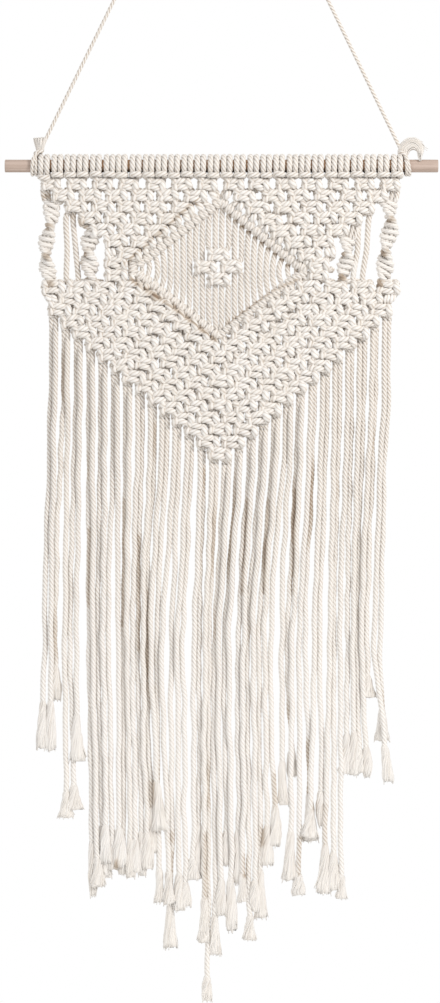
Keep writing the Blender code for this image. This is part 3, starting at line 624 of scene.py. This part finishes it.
class MeshParts:
    """Sweeps gathered into one mesh."""

    def __init__(self):
        self.points, self.quads, self.relief, self.tone, self.uv = [], [], [], [], []
        self.count = 0

    def add(self, rings, relief, tone, along):
        """Add one sweep, closed at both ends. rings is (rings, points round, 3)."""
        n, m = rings.shape[:2]
        base = self.count + np.arange(n * m).reshape(n, m)
        turned = np.roll(base, -1, 1)
        self.quads.append(np.stack([base[:-1], turned[:-1], turned[1:], base[1:]], -1).reshape(-1, 4))
        self.points.append(rings.reshape(-1, 3))
        self.relief.append(np.broadcast_to(relief, (n, m)).reshape(-1))
        self.tone.append(np.full(n * m, tone))
        around = np.broadcast_to(np.arange(m) / m, (n, m)).reshape(-1)
        self.uv.append(np.stack([around, np.repeat(along, m)], 1))
        self.count += n * m
        # A row whose last corner is its first is a triangle.
        for ring in (base[0][::-1], base[-1]):
            for k in range(1, m - 1, 2):
                last = ring[k + 2] if k + 2 < m else ring[0]
                self.quads.append(np.array([[ring[0], ring[k], ring[k + 1], last]]))

    def finish(self, name, material, slot, node):
        """Make the piece, in metres, and hide the solid that it stands for."""
        points = np.concatenate(self.points) * 0.001
        quads = np.concatenate(self.quads)
        mesh = bpy.data.meshes.new(name)
        mesh.vertices.add(len(points))
        mesh.vertices.foreach_set("co", points.astype(np.float32).ravel())
        sizes = np.where(quads[:, 3] == quads[:, 0], 3, 4)
        loops = quads[np.arange(4) < sizes[:, None]]
        mesh.loops.add(len(loops))
        mesh.loops.foreach_set("vertex_index", loops.astype(np.int32))
        mesh.polygons.add(len(quads))
        mesh.polygons.foreach_set("loop_start", np.r_[0, np.cumsum(sizes)[:-1]].astype(np.int32))
        mesh.polygons.foreach_set("loop_total", sizes.astype(np.int32))
        mesh.update(calc_edges=True)
        mesh.polygons.foreach_set("use_smooth", np.ones(len(quads), bool))
        for key, values in (("relief", self.relief), ("tone", self.tone)):
            layer = mesh.attributes.new(key, "FLOAT", "POINT")
            layer.data.foreach_set("value", np.concatenate(values).astype(np.float32))
        layer = mesh.uv_layers.new(name="cord")
        layer.data.foreach_set("uv", np.concatenate(self.uv)[loops].astype(np.float32).ravel())
        mesh.validate()
        mesh.materials.append(material)
        made = add_object(name, mesh)
        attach(made, "root")
        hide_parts(node)


def cord_rings(
    points, radii, along, lay=LAY, plies=PLIES, valley=PLY[0][1], phase=0.0, radius=CORD_RADIUS, loose=0.0
):
    """Rings of a laid cord along points, and their relief. Squeezed or loose plies show less."""
    across, beside = turning_frames(points)
    angles = np.array([2 * math.pi / plies * (ply + part) for ply in range(plies) for part, _ in PLY])
    is_valley = np.tile([True, False, False], plies)[None, :]
    turn = phase - 2 * math.pi * along[:, None] / lay + angles[None, :]
    squeezed = 0.75 * np.clip((np.abs(0.98 - radii) - 0.05) / 0.06, 0.0, 1.0)
    soft = np.maximum(squeezed, loose)[:, None]
    reach = np.where(is_valley, valley + (0.9 - valley) * 0.6 * soft, 1.0) * (radii * radius)[:, None]
    # Painted shade in the valleys; a painted highlight on bulging parts of knots, and painted light on loose
    # cord.
    painted_light = np.clip((radii - 1.1) / 0.15, 0.0, 0.6)[:, None] + 0.5 * np.reshape(loose, (-1, 1))
    relief = np.where(is_valley, 0.6 * soft, 1.0 + painted_light)
    rings = (
        points[:, None, :]
        + (reach * np.cos(turn))[:, :, None] * across[:, None, :]
        + (reach * np.sin(turn))[:, :, None] * beside[:, None, :]
    )
    return rings, relief


def in_space(points):
    """From (x, y, depth) to (x, y, z)."""
    out = points[:, :3].copy()
    out[:, 2] = DOWEL_Z - out[:, 2]
    return out


# Small irregularities of hand knotting.
HEAD_JITTER = RANDOM.uniform(-0.45, 0.45, CORDS)
HEAD_DROP = RANDOM.uniform(-0.5, 0.9, CORDS)
HEAD_DROP[0] += 2.2
KNOTS = panel_knots()
# How far each knot is out of its place, its spin and its size.
JITTERS = ((-0.55, 0.55), (-0.5, 0.5), (-0.8, 0.5), (-0.20, 0.12), (0.98, 1.09))
KNOT_JITTER = {knot: tuple(RANDOM.uniform(*jitter) for jitter in JITTERS) for knot in KNOTS}
FRAYS = RANDOM.uniform(*FRAY_LENGTH, STRANDS)


def wave(swing, size):
    """(how far a strand swings, the wave's length, its lag)."""
    return RANDOM.uniform(*swing) * WAVE_SWING, RANDOM.uniform(*size), RANDOM.uniform(0, LAG)


WAVES = [[wave(*sizes) for sizes in WAVE_SIZES] for _ in range(STRANDS)]
# How a pair of the fringe hangs: (how far it closes, its sway, the sway's length and lag, how long it stays).
PAIRS = RANDOM.uniform((0.35, -0.7, 90.0, 0.0, 10.0), (1.25, 0.7, 210.0, LAG, 110.0), (CORDS, 5))
SWAYS = RANDOM.uniform(-0.5, 0.5, STRANDS)
LAYERS = fringe_layers()


def set_inputs(tree, node, inputs):
    """Give each input its value, or its link where the value is another node's output."""
    for name, value in inputs.items():
        if isinstance(value, bpy.types.NodeSocket):
            tree.links.new(value, node.inputs[name])
        else:
            node.inputs[name].default_value = value


def add_node(tree, kind, output, inputs=(), **settings):
    """One output of a new node."""
    made = tree.nodes.new("ShaderNode" + kind)
    for name, value in settings.items():
        setattr(made, name, value)
    set_inputs(tree, made, dict(inputs))
    return made.outputs[output]


def mixed(tree, factor, first, second):
    """The first colour, or as much of the second as the factor says."""
    return add_node(tree, "Mix", "Result", {"Factor": factor, "A": first, "B": second}, data_type="RGBA")


def ranged(tree, value, start, end, top=1.0):
    """0 at start and top at end."""
    inputs = {"Value": value, "From Min": start, "From Max": end, "To Max": top}
    return add_node(tree, "MapRange", "Result", inputs)


def product(tree, first, second):
    return add_node(tree, "Math", "Value", {0: first, 1: second}, operation="MULTIPLY")


def bumped(tree, height, strength, distance):
    return add_node(tree, "Bump", "Normal", {"Height": height, "Strength": strength, "Distance": distance})


def stretched(tree, place, scale):
    return add_node(tree, "Mapping", "Vector", {"Vector": place, "Scale": scale})


def new_material(name):
    """A material, its tree of nodes and its shader."""
    material = bpy.data.materials.new(name)
    material.use_nodes = True
    return material, material.node_tree, material.node_tree.nodes["Principled BSDF"]


# The colours of cotton, by relief: painted shade in the plies' valleys (also the dark end of random yarn
# tones), its own colour on the ridges, painted highlight (also the pale end of random yarn tones), painted
# deep brown shade in crevices, and warm random spots.
VALLEY_SHADE_AND_DARK_TONE, RIDGE, HIGHLIGHT_AND_PALE_TONE = (0.46, 0.37, 0.285, 1), (0.805, 0.766, 0.724, 1), (0.91, 0.895, 0.88, 1)
PAINTED_DEEP_SHADE, WARM = (0.165, 0.09, 0.04, 1), (0.79, 0.73, 0.655, 1)
# The colours of wood: its grain, and painted shade where the cords cover it, deepest on its underside.
GRAIN = ((0.32, (0.42, 0.315, 0.255, 1)), (0.72, (0.57, 0.45, 0.385, 1)))
WOOD_IN_PAINTED_SHADE, SHADED_WOOD = (0.62, 0.38, 0.22, 1), (0.03, 0.015, 0.008, 1)


def cotton_material(name, fibre=1.0):
    """Unbleached cotton with fine fibres along the cord, and painted shade and highlight set by its relief.
    """
    material, tree, shader = new_material(name)
    relief = add_node(tree, "Attribute", "Fac", attribute_name="relief")
    tone = add_node(tree, "Attribute", "Fac", attribute_name="tone")
    # Painted shade in the valleys, painted highlight where the relief is raised, painted deep brown shade
    # below it.
    colour = mixed(tree, relief, VALLEY_SHADE_AND_DARK_TONE, RIDGE)
    colour = mixed(tree, ranged(tree, relief, 1.0, 2.0), colour, HIGHLIGHT_AND_PALE_TONE)
    colour = mixed(tree, ranged(tree, relief, 0.0, -1.0), colour, PAINTED_DEEP_SHADE)
    place = add_node(tree, "TexCoord", "Object")
    spots = add_node(tree, "TexNoise", "Fac", {"Vector": place, "Scale": 55.0, "Detail": 3.0})
    colour = mixed(tree, product(tree, spots, tone), colour, WARM)
    cord = stretched(tree, add_node(tree, "UVMap", "UV", uv_map="cord"), (26.0, 0.55, 1.0))
    noise = {"Vector": cord, "Scale": 1.0, "Detail": 4.0, "Roughness": 0.65}
    normal = bumped(tree, add_node(tree, "TexNoise", "Fac", noise), 0.5 * fibre, 0.0004)
    feel = {"Roughness": 0.92, "Sheen Weight": 0.25, "Sheen Roughness": 0.5, "Specular IOR Level": 0.2}
    set_inputs(tree, shader, {"Base Color": colour, "Normal": normal, **feel})
    return material


def wood_material():
    """Pale pinkish bare wood with long fine grain, and painted shade where the cords cover it."""
    material, tree, shader = new_material("bare_wood")
    place = add_node(tree, "TexCoord", "Object")
    along = stretched(tree, place, (14.0, 420.0, 420.0))
    noise = {"Vector": along, "Scale": 1.0, "Detail": 6.0, "Distortion": 0.6}
    grain = add_node(tree, "TexNoise", "Fac", noise)
    colour = add_node(tree, "ValToRGB", "Color", {"Fac": grain})
    for element, (position, shown) in zip(colour.node.color_ramp.elements, GRAIN):
        element.position, element.color = position, shown
    # Painted shade: the rod is coloured a darker, warmer brown where it lies in deep shade under the cords,
    # and most so, near black, on its underside behind their bar.
    parts = add_node(tree, "SeparateXYZ", "X", {"Vector": place}).node.outputs
    middle = add_node(tree, "Math", "Value", {0: parts["X"]}, operation="ABSOLUTE")
    cord_shade = ranged(tree, middle, 0.1465, 0.1445)
    axis = DOWEL_Z * 0.001
    lower = ranged(tree, parts["Z"], axis - 0.0005, axis - 0.0046, 0.97)
    colour = mixed(tree, cord_shade, colour, WOOD_IN_PAINTED_SHADE)
    colour = mixed(tree, product(tree, cord_shade, lower), colour, SHADED_WOOD)
    normal = bumped(tree, grain, 0.25, 0.0002)
    set_inputs(tree, shader, {"Base Color": colour, "Roughness": 0.6, "Normal": normal})
    return material


COTTON = cotton_material("cotton_cord_look")
FRAYED = cotton_material("frayed_cotton_look", 0.7)
WOOD = wood_material()


def shade(places):
    """How much painted shade each place gets from the brown spots near it."""
    away = np.hypot(places[:, :1] - SHADED[:, 0], places[:, 2:3] - SHADED[:, 1]) / SHADED[:, 2]
    return (SHADED[:, 3] * np.exp(-(away**2))).max(axis=1)


def in_spiral(places):
    """1 for the places on a spiral, which are painted paler as painted light, 0 elsewhere."""
    found = np.zeros(len(places))
    for _, middle, *_ in SPIRALS:
        x, depths = zip(*middle)
        beside = np.abs(places[:, 0] - np.interp(places[:, 2], depths, x)) < SPIRAL_REACH
        found[beside & (places[:, 2] > depths[0]) & (places[:, 2] < depths[-1])] = 1.0
    return found


def line_shade(points):
    """How much painted shade each point gets from the brown lines where cords press on each other."""
    x, depth = points[..., 0], DOWEL_Z - points[..., 2]
    most = np.zeros(x.shape)
    for x0, depth0, x1, depth1, reach, amount in SHADE_LINES:
        run, fall = x1 - x0, depth1 - depth0
        share = np.clip(((x - x0) * run + (depth - depth0) * fall) / (run * run + fall * fall), 0.0, 1.0)
        away = np.hypot(x - x0 - share * run, depth - depth0 - share * fall)
        most = np.maximum(most, amount * np.exp(-((away / reach) ** 2)))
    return most


def build_cords():
    """Sweep every cord, and cut it where its fringe starts. Returns (strand, place, tone) of each tip."""
    panels = [MeshParts() for _ in range(PANELS)]
    fringes = {"fringe_left": MeshParts(), "fringe_right": MeshParts()}
    tips = []
    for cord in range(CORDS):
        left, left_root = strand_rows(2 * cord)
        right, right_root = strand_rows(2 * cord + 1)
        sampled, along = curve_through(left[::-1] + right[1:])
        points, depth = in_space(sampled), sampled[:, 2]
        first = int(np.argmax(depth < left_root + FRINGE_FROM))
        last = len(depth) - int(np.argmax(depth[::-1] < right_root + FRINGE_FROM))
        hangs = np.r_[np.ones(first), np.zeros(last - first), np.ones(len(depth) - last)]
        loose = LOOSEST * np.clip((depth - LOOSENS_FROM) / LOOSENS_OVER, 0.0, 1.0) * hangs
        loose = np.maximum(loose, HEADING_SOFT * np.clip((HEADING_DEPTH - depth) / 3.0, 0.0, 1.0))
        slim = np.convolve(np.pad(hangs, 3, mode="edge"), np.ones(7) / 7, mode="valid")
        girths = CORD_RADIUS * (1 - (1 - FRINGE_RADIUS) * slim)
        phase = RANDOM.uniform(0, LAG)
        rings, relief = cord_rings(points, sampled[:, 3], along, phase=phase, radius=girths, loose=loose)
        # Painted light on the spirals, and painted shade: on the fringe's back strands, in brown spots and
        # lines, and a little on the heading.
        behind = BEHIND_SHADE * np.clip((sampled[:, 1] - BEHIND_FROM) / BEHIND_OVER, 0.0, 1.0) * hangs
        relief += SPIRAL_PAINTED_LIGHT * in_spiral(sampled)[:, None] * (SPIRAL_RELIEF - relief)
        relief -= np.maximum(shade(sampled), behind)[:, None]
        relief -= line_shade(rings)
        relief -= HEADING_SHADE * (depth < HEADING_DEPTH)[:, None]
        tone = RANDOM.uniform(0.0, 0.55)
        panels[cord * PANELS // CORDS].add(rings[first:last], relief[first:last], tone, along[first:last])
        hung = fringes["fringe_left" if cord < CORDS // 2 else "fringe_right"]
        for span in (slice(0, first + 1), slice(last - 1, None)):
            hung.add(rings[span], relief[span], tone, along[span])
        tips += [(2 * cord, points[0], tone), (2 * cord + 1, points[-1], tone)]
    for number, parts in enumerate(panels):
        parts.finish(f"panel_{number + 1}", COTTON, "cotton_cord", "macrame_panel")
    for name, parts in fringes.items():
        parts.finish(name, COTTON, "cotton_cord", "fringe")
    return tips


def yarn_rings(centre, thick, across, beside):
    """Four-sided rings of a yarn round its centre."""
    turn = np.arange(4)[None, :, None] * math.pi / 2
    return centre[:, None, :] + thick[:, None, None] * (np.cos(turn) * across + np.sin(turn) * beside)


def tuft(parts, start, along, out, length, radii, tone):
    """A loosened end: a soft flat core of yarns that lie together, and loose crimped yarns round it."""
    side = np.cross(along, out)
    bow = RANDOM.uniform(-0.7, 0.7, 2)

    def around(shares, reach, angles, wide):
        """Points round the tuft: its turn dies out below the cord, and it spreads towards its foot."""
        swing = np.sin(math.pi * shares)
        turned = angles - FRAY_TURN * (1 - shares) ** 2
        spread = np.interp(shares, FRAY_PLACES, radii) * wide
        across = spread * np.cos(turned) + bow[0] * swing
        through = spread * np.interp(shares, FRAY_PLACES, FRAY_FLATS) * np.sin(turned) + bow[1] * swing
        down = (shares * reach)[..., None] * along
        return start + down + across[..., None] * out + through[..., None] * side

    odd = np.arange(CORE_SIDES) % 2
    grooves = 1.0 - 0.12 * odd + RANDOM.uniform(-0.05, 0.05, CORE_SIDES)
    shares = np.linspace(0.0, 1.0, 11)[:, None] * np.ones(CORE_SIDES)
    angles = np.arange(CORE_SIDES) * 2 * math.pi / CORE_SIDES * np.ones_like(shares)
    closing = np.interp(shares, (0.0, 0.9, 1.0), (1.0, 0.97, 0.86))
    uneven = 1 + RANDOM.uniform(-0.045, 0.035, CORE_SIDES)
    rings = around(shares, length * 0.96 * uneven, angles, closing * grooves)
    # The core is painted paler overall as painted light and darker in its grooves as painted shade; it also
    # darkens towards the cord.
    relief = 1.2 - 0.35 * odd - 0.3 * (1 - shares) ** 2
    parts.add(rings, relief - FRAY_LINE_SHADE * line_shade(rings), tone, shares[:, 0] * length)
    for yarn in range(YARNS):
        at = np.linspace(0.04, 1.0, 12)
        angle = 2 * math.pi * (yarn + RANDOM.uniform(0.1, 0.9)) / YARNS
        crimp = RANDOM.uniform(0.02, 0.07)
        crimp = crimp * np.sin(RANDOM.uniform(11.0, 17.0) * at + RANDOM.uniform(0.0, LAG))
        wide = RANDOM.uniform(0.80, 1.0) + crimp * np.clip(4 * at, 0, 1)
        centre = around(at, length * RANDOM.uniform(0.88, 1.04), angle + 2.0 * crimp, wide)
        thick = np.interp(at, (0.0, 0.2, 0.85, 1.0), (0.4, 0.75, 0.7, 0.3)) * RANDOM.uniform(0.85, 1.15)
        rings = yarn_rings(centre, thick, out, side)
        # Each yarn has a random tone, paler overall as painted light, and the painted shade lines.
        parts.add(rings, RANDOM.uniform(0.85, 1.38) - FRAY_LINE_SHADE * line_shade(rings), tone, at * length)


def build_frays(tips):
    """Each end's yarns, loosened: most flare like a broom, others hang as a soft brush or end in a point."""
    parts = MeshParts()
    for strand, start, tone in tips:
        tip_x, tip = FRINGE[strand][1:]
        fall = np.array([tip_x - start[0], 0.0, DOWEL_Z - tip - start[2]])
        length = np.linalg.norm(fall)
        along = fall / length
        out = np.array([-along[2], 0.0, along[0]])
        kind, more = RANDOM.uniform(0.0, 1.0, 2)
        shape = next(radii for share, radii in FRAY_SHAPES if kind <= share)
        radii = np.array(shape) * (1, 1, *(np.full(3, 0.78 + 0.52 * more)))
        tuft(parts, start - along * FRAY_OVERLAP, along, out, length + FRAY_OVERLAP, radii, tone)
    parts.finish("frayed_ends", FRAYED, "cotton_cord", "fringe")


# The hanging cord: its lay, its bend over the nail, and its legs' leans and lowest height over the dowel.
ROPE = {"lay": 11.0, "plies": 3, "valley": 0.66, "radius": 1.5}
ROPE_STEPS = (0.75, 1.1)
NAIL_BEND = 3.5
LEG_LEANS, LEG_END_HEIGHT = (-0.5062, 0.5014), 15.0
BEND_STEPS, LEG_STEPS = 14, 12


def add_rope(parts, rows):
    """A length of the hanging cord through control rows."""
    sampled, along = curve_through(rows, ROPE_STEPS)
    rings, relief = cord_rings(sampled[:, :3], sampled[:, 3], along, **ROPE)
    parts.add(rings, relief, 0.3, along)


def build_rope():
    """The hanging cord, in tension: a straight leg, the bend over the nail and the other leg."""
    z = DOWEL_Z + LEG_END_HEIGHT
    ends = [np.array([-z * lean, 0.0, z]) for lean in LEG_LEANS]
    tilts = [math.atan2(abs(end[0]), -z) - math.asin(NAIL_BEND / np.linalg.norm(end)) for end in ends]
    bend = []
    for step in range(BEND_STEPS + 1):
        angle = math.pi - tilts[0] + (tilts[0] + tilts[1] - math.pi) * step / BEND_STEPS
        bend.append((math.cos(angle) * NAIL_BEND, 0.0, math.sin(angle) * NAIL_BEND))
    legs = [
        [(*(end + (np.array(over) - end) * k / LEG_STEPS), 1.0) for k in range(LEG_STEPS)]
        for end, over in zip(ends, (bend[0], bend[-1]))
    ]
    parts = MeshParts()
    add_rope(parts, legs[0] + [(*place, 1.0) for place in bend] + legs[1][::-1])
    parts.finish("hanging_rope", COTTON, "cotton_cord", "hanging_cord")


# The ties' ropes as (x, y, height over the dowel's axis), and their frayed tails as (x, y, height, radius).
LEFT_TIE = (
    (-141.05, 0.0, 14.7), (-141.6, -1.0, 12.8), (-143.2, -2.8, 11.0), (-145.6, -4.6, 8.6),
    (-147.6, -6.2, 4.6), (-148.2, -6.9, 0.0), (-148.4, -4.9, -4.9), (-148.4, 0.0, -6.9),
    (-148.2, 4.9, -4.9), (-147.8, 6.9, 0.0), (-147.2, 4.9, 4.9), (-146.4, 0.0, 7.0), (-145.7, -4.9, 5.1),
    (-145.4, -6.9, 0.0), (-145.4, -4.9, -4.9), (-145.4, 0.0, -6.9), (-145.2, 4.9, -4.9), (-144.9, 6.9, 0.0),
    (-144.4, 5.2, 5.4), (-143.2, 2.6, 8.8), (-141.4, 0.2, 10.6), (-141.4, -3.4, 11.4), (-144.4, -4.0, 10.6),
    (-146.2, -1.4, 9.8), (-144.6, 0.6, 11.0), (-142.8, -0.2, 13.4), (-142.5, -0.6, 15.0),
)
RIGHT_TIE = (
    (140.0, 0.0, 14.7), (140.6, -0.8, 12.8), (141.6, -2.6, 10.8), (143.6, -4.6, 8.4), (145.4, -6.2, 4.6),
    (146.6, -6.9, 0.0), (147.4, -4.9, -4.9), (147.6, 0.0, -6.9), (147.2, 4.9, -4.9), (146.4, 6.9, 0.0),
    (145.2, 4.9, 4.9), (144.2, 0.0, 7.0), (144.4, -4.9, 5.1), (145.0, -6.9, 0.0), (145.4, -4.9, -4.9),
    (145.2, 0.0, -6.9), (144.6, 4.9, -4.9), (144.0, 6.9, 0.0), (143.4, 5.2, 5.4), (142.4, 2.6, 8.4),
    (140.8, 0.2, 9.8), (140.8, -3.2, 10.2), (143.0, -4.0, 9.4), (144.6, -1.4, 9.4), (143.4, 0.2, 11.0),
    (143.0, 0.0, 13.0),
)
LEFT_TAIL = (
    (-142.2, -0.6, 11.0, 2.4), (-142.3, -0.5, 14.2, 2.7), (-142.4, -0.4, 17.6, 4.0),
    (-142.5, -0.2, 20.6, 5.2), (-142.6, 0.0, 23.2, 6.1),
)
RIGHT_TAIL = (
    (142.4, 0.0, 6.8, 2.8), (142.5, -0.1, 9.6, 4.0), (144.4, -0.3, 14.6, 4.5), (149.4, -0.3, 17.8, 5.1),
    (154.2, -0.4, 15.6, 4.2), (156.0, -1.2, 12.2, 3.2), (155.8, -2.4, 9.2, 2.4), (155.4, -4.0, 6.4, 1.8),
    (155.7, -5.6, 3.4, 1.0), (155.9, -6.2, 1.4, 0.5),
)
# A tail's yarns and how short they get, how thick a yarn is, and how many wisps stand off it.
TAIL_YARNS = {"left": (64, 0.92), "right": (72, 0.5)}
TAIL_THICK = {"left": 0.78, "right": 0.62}
WISPS = {"left": 0, "right": 30}


def strand_along(parts, centre, thick, relief, tone):
    """A yarn of a tail."""
    across, beside = turning_frames(centre)
    rings = yarn_rings(centre, thick, across[:, None, :], beside[:, None, :])
    parts.add(rings, relief, tone, np.linspace(0, 20, len(centre)))


def build_tie(side, rope, tail):
    """The cord's end at the dowel: two turns round it, a small knot and a frayed tail."""
    parts = MeshParts()
    add_rope(parts, [(x, y, DOWEL_Z + height, 1.0) for x, y, height in rope])
    spine, _ = curve_through([(x, y, DOWEL_Z + height, radius) for x, y, height, radius in tail], ROPE_STEPS)
    across, beside = turning_frames(spine[:, :3])
    yarns, shortest = TAIL_YARNS[side]
    for yarn in range(yarns):
        angle, place = 2.4 * yarn, math.sqrt((yarn + 0.5) / yarns)
        stop = int(len(spine) * RANDOM.uniform(shortest, 1.0))
        wander = RANDOM.uniform(-0.4, 0.4, 2)
        share = np.linspace(0, 1, stop)
        out = spine[:stop, 3] * place
        centre = (
            spine[:stop, :3]
            + (out * math.cos(angle) + wander[0] * np.sin(5 * share))[:, None] * across[:stop]
            + (out * math.sin(angle) * 0.6 + wander[1] * np.sin(7 * share))[:, None] * beside[:stop]
        )[::2]
        taper = 1 - 0.6 * np.linspace(0, 1, len(centre)) ** 6
        strand_along(parts, centre, TAIL_THICK[side] * taper, RANDOM.uniform(0.7, 1.2), 0.5)
    for wisp in range(WISPS[side]):
        start = spine[int(len(spine) * RANDOM.uniform(0.32, 0.52)), :3].copy()
        start[2] += RANDOM.uniform(-2.0, 4.0)
        away = np.array([RANDOM.uniform(0.8, 1.0), RANDOM.uniform(-0.25, 0.25), RANDOM.uniform(-0.55, 0.3)])
        reach = RANDOM.uniform(5.0, 11.0)
        shares = np.linspace(0, 1, 6)
        drop = np.array([0.0, 0.0, RANDOM.uniform(-4.5, -0.5)])
        centre = start + (shares * reach)[:, None] * away + (shares**2)[:, None] * drop
        strand_along(parts, centre, 0.5 * (1 - 0.55 * shares), 0.95, 0.1)
    parts.finish(side + "_tie_look", COTTON, "cotton_cord", side + "_tie")


# Its broken edge: (how far from the end, radius).
DOWEL_END = ((0.0, 4.2), (0.0, 4.6), (0.15, 4.85), (0.5, 5.0))
DOWEL_SIDES = 64


def build_dowel():
    """A turned rod with softly broken edges."""
    half = DOWEL_LENGTH / 2
    stations = [(inset - half, radius) for inset, radius in DOWEL_END]
    stations += [(x, DOWEL_RADIUS - 0.03 * math.sin(x * 0.07)) for x in np.linspace(6 - half, half - 6, 40)]
    stations += [(half - inset, radius) for inset, radius in DOWEL_END[::-1]]
    angles = np.arange(DOWEL_SIDES) * 2 * math.pi / DOWEL_SIDES
    rings = np.array([[(x, r * math.cos(a), DOWEL_Z + r * math.sin(a)) for a in angles] for x, r in stations])
    parts = MeshParts()
    parts.add(rings, 1.0, 0.0, np.array([x for x, _ in stations]))
    parts.finish("dowel_rod", WOOD, "pale_wood", "dowel")


def area_light(name, place, target, size, power, colour):
    data = bpy.data.lights.new(name, "AREA")
    data.shape, data.size = "DISK", size
    data.energy, data.color = power, colour
    made = add_object(name, data)
    made.location = place
    made.rotation_euler = Vector(np.subtract(target, place)).to_track_quat("-Z", "Y").to_euler()


# How strongly the white world lights the cords, and the floor, in metres.
WORLD_LIGHT = 0.74
FLOOR_RADIUS, FLOOR_Z, FLOOR_SIDES = 0.66, -1.06, 96


def build_stage():
    """White all round, a pale disc of floor under the hanging, and three soft lights."""
    world = bpy.data.worlds.new("studio")
    world.use_nodes = True
    tree = world.node_tree
    seen = add_node(tree, "LightPath", "Is Camera Ray")
    strength = add_node(tree, "MapRange", "Result", {"Value": seen, "To Min": WORLD_LIGHT, "To Max": 1.0})
    set_inputs(tree, tree.nodes["Background"], {"Color": (1.0, 1.0, 1.0, 1), "Strength": strength})
    bpy.context.scene.world = world
    mesh = bpy.data.meshes.new("floor")
    angles = np.arange(FLOOR_SIDES) * 2 * math.pi / FLOOR_SIDES
    corners = [(math.cos(a) * FLOOR_RADIUS, math.sin(a) * FLOOR_RADIUS, FLOOR_Z) for a in angles]
    mesh.from_pydata(corners, [], [tuple(range(FLOOR_SIDES))])
    pale, tree, shader = new_material("pale_floor")
    set_inputs(tree, shader, {"Base Color": (0.86, 0.86, 0.85, 1), "Roughness": 0.8})
    mesh.materials.append(pale)
    add_object("floor", mesh)
    area_light("key", (1.4, -1.5, 0.45), (0.0, 0.0, -0.5), 0.6, 28.4, (1.0, 0.99, 0.975))
    area_light("fill", (-1.4, -1.8, -0.9), (0.0, 0.0, -0.75), 1.2, 6.8, (0.95, 0.97, 1.0))
    area_light("back", (-1.3, 1.7, 0.5), (0.0, 0.0, -0.5), 0.9, 22.0, (1.0, 0.99, 0.98))


# The photograph's size and the nail's place, in pixels, and a pixel, the camera's distance and its sensor.
PHOTO_WIDTH, PHOTO_HEIGHT, NAIL_PIXEL = 440, 1003, (221.5, -208.0)
PHOTO_SCALE, CAMERA_DISTANCE, SENSOR = 0.000785, 3.0, 36.0


def build_camera():
    """Straight on, from as far as a long lens would be."""
    data = bpy.data.cameras.new("camera")
    camera = add_object("camera", data)
    x = (PHOTO_WIDTH / 2 - NAIL_PIXEL[0]) * PHOTO_SCALE
    z = (NAIL_PIXEL[1] - PHOTO_HEIGHT / 2) * PHOTO_SCALE
    camera.location = (x, -CAMERA_DISTANCE, z)
    camera.rotation_euler = (math.pi / 2, 0.0, 0.0)
    data.sensor_width = SENSOR
    data.lens = SENSOR / 2 * CAMERA_DISTANCE / (PHOTO_HEIGHT * PHOTO_SCALE / 2)
    data.clip_end = 50.0
    bpy.context.scene.camera = camera


def main():
    bpy.context.scene.view_settings.view_transform = "Standard"
    build_stage()
    build_camera()
    build_dowel()
    tips = build_cords()
    build_frays(tips)
    build_rope()
    build_tie("left", LEFT_TIE, LEFT_TAIL)
    build_tie("right", RIGHT_TIE, RIGHT_TAIL)


main()
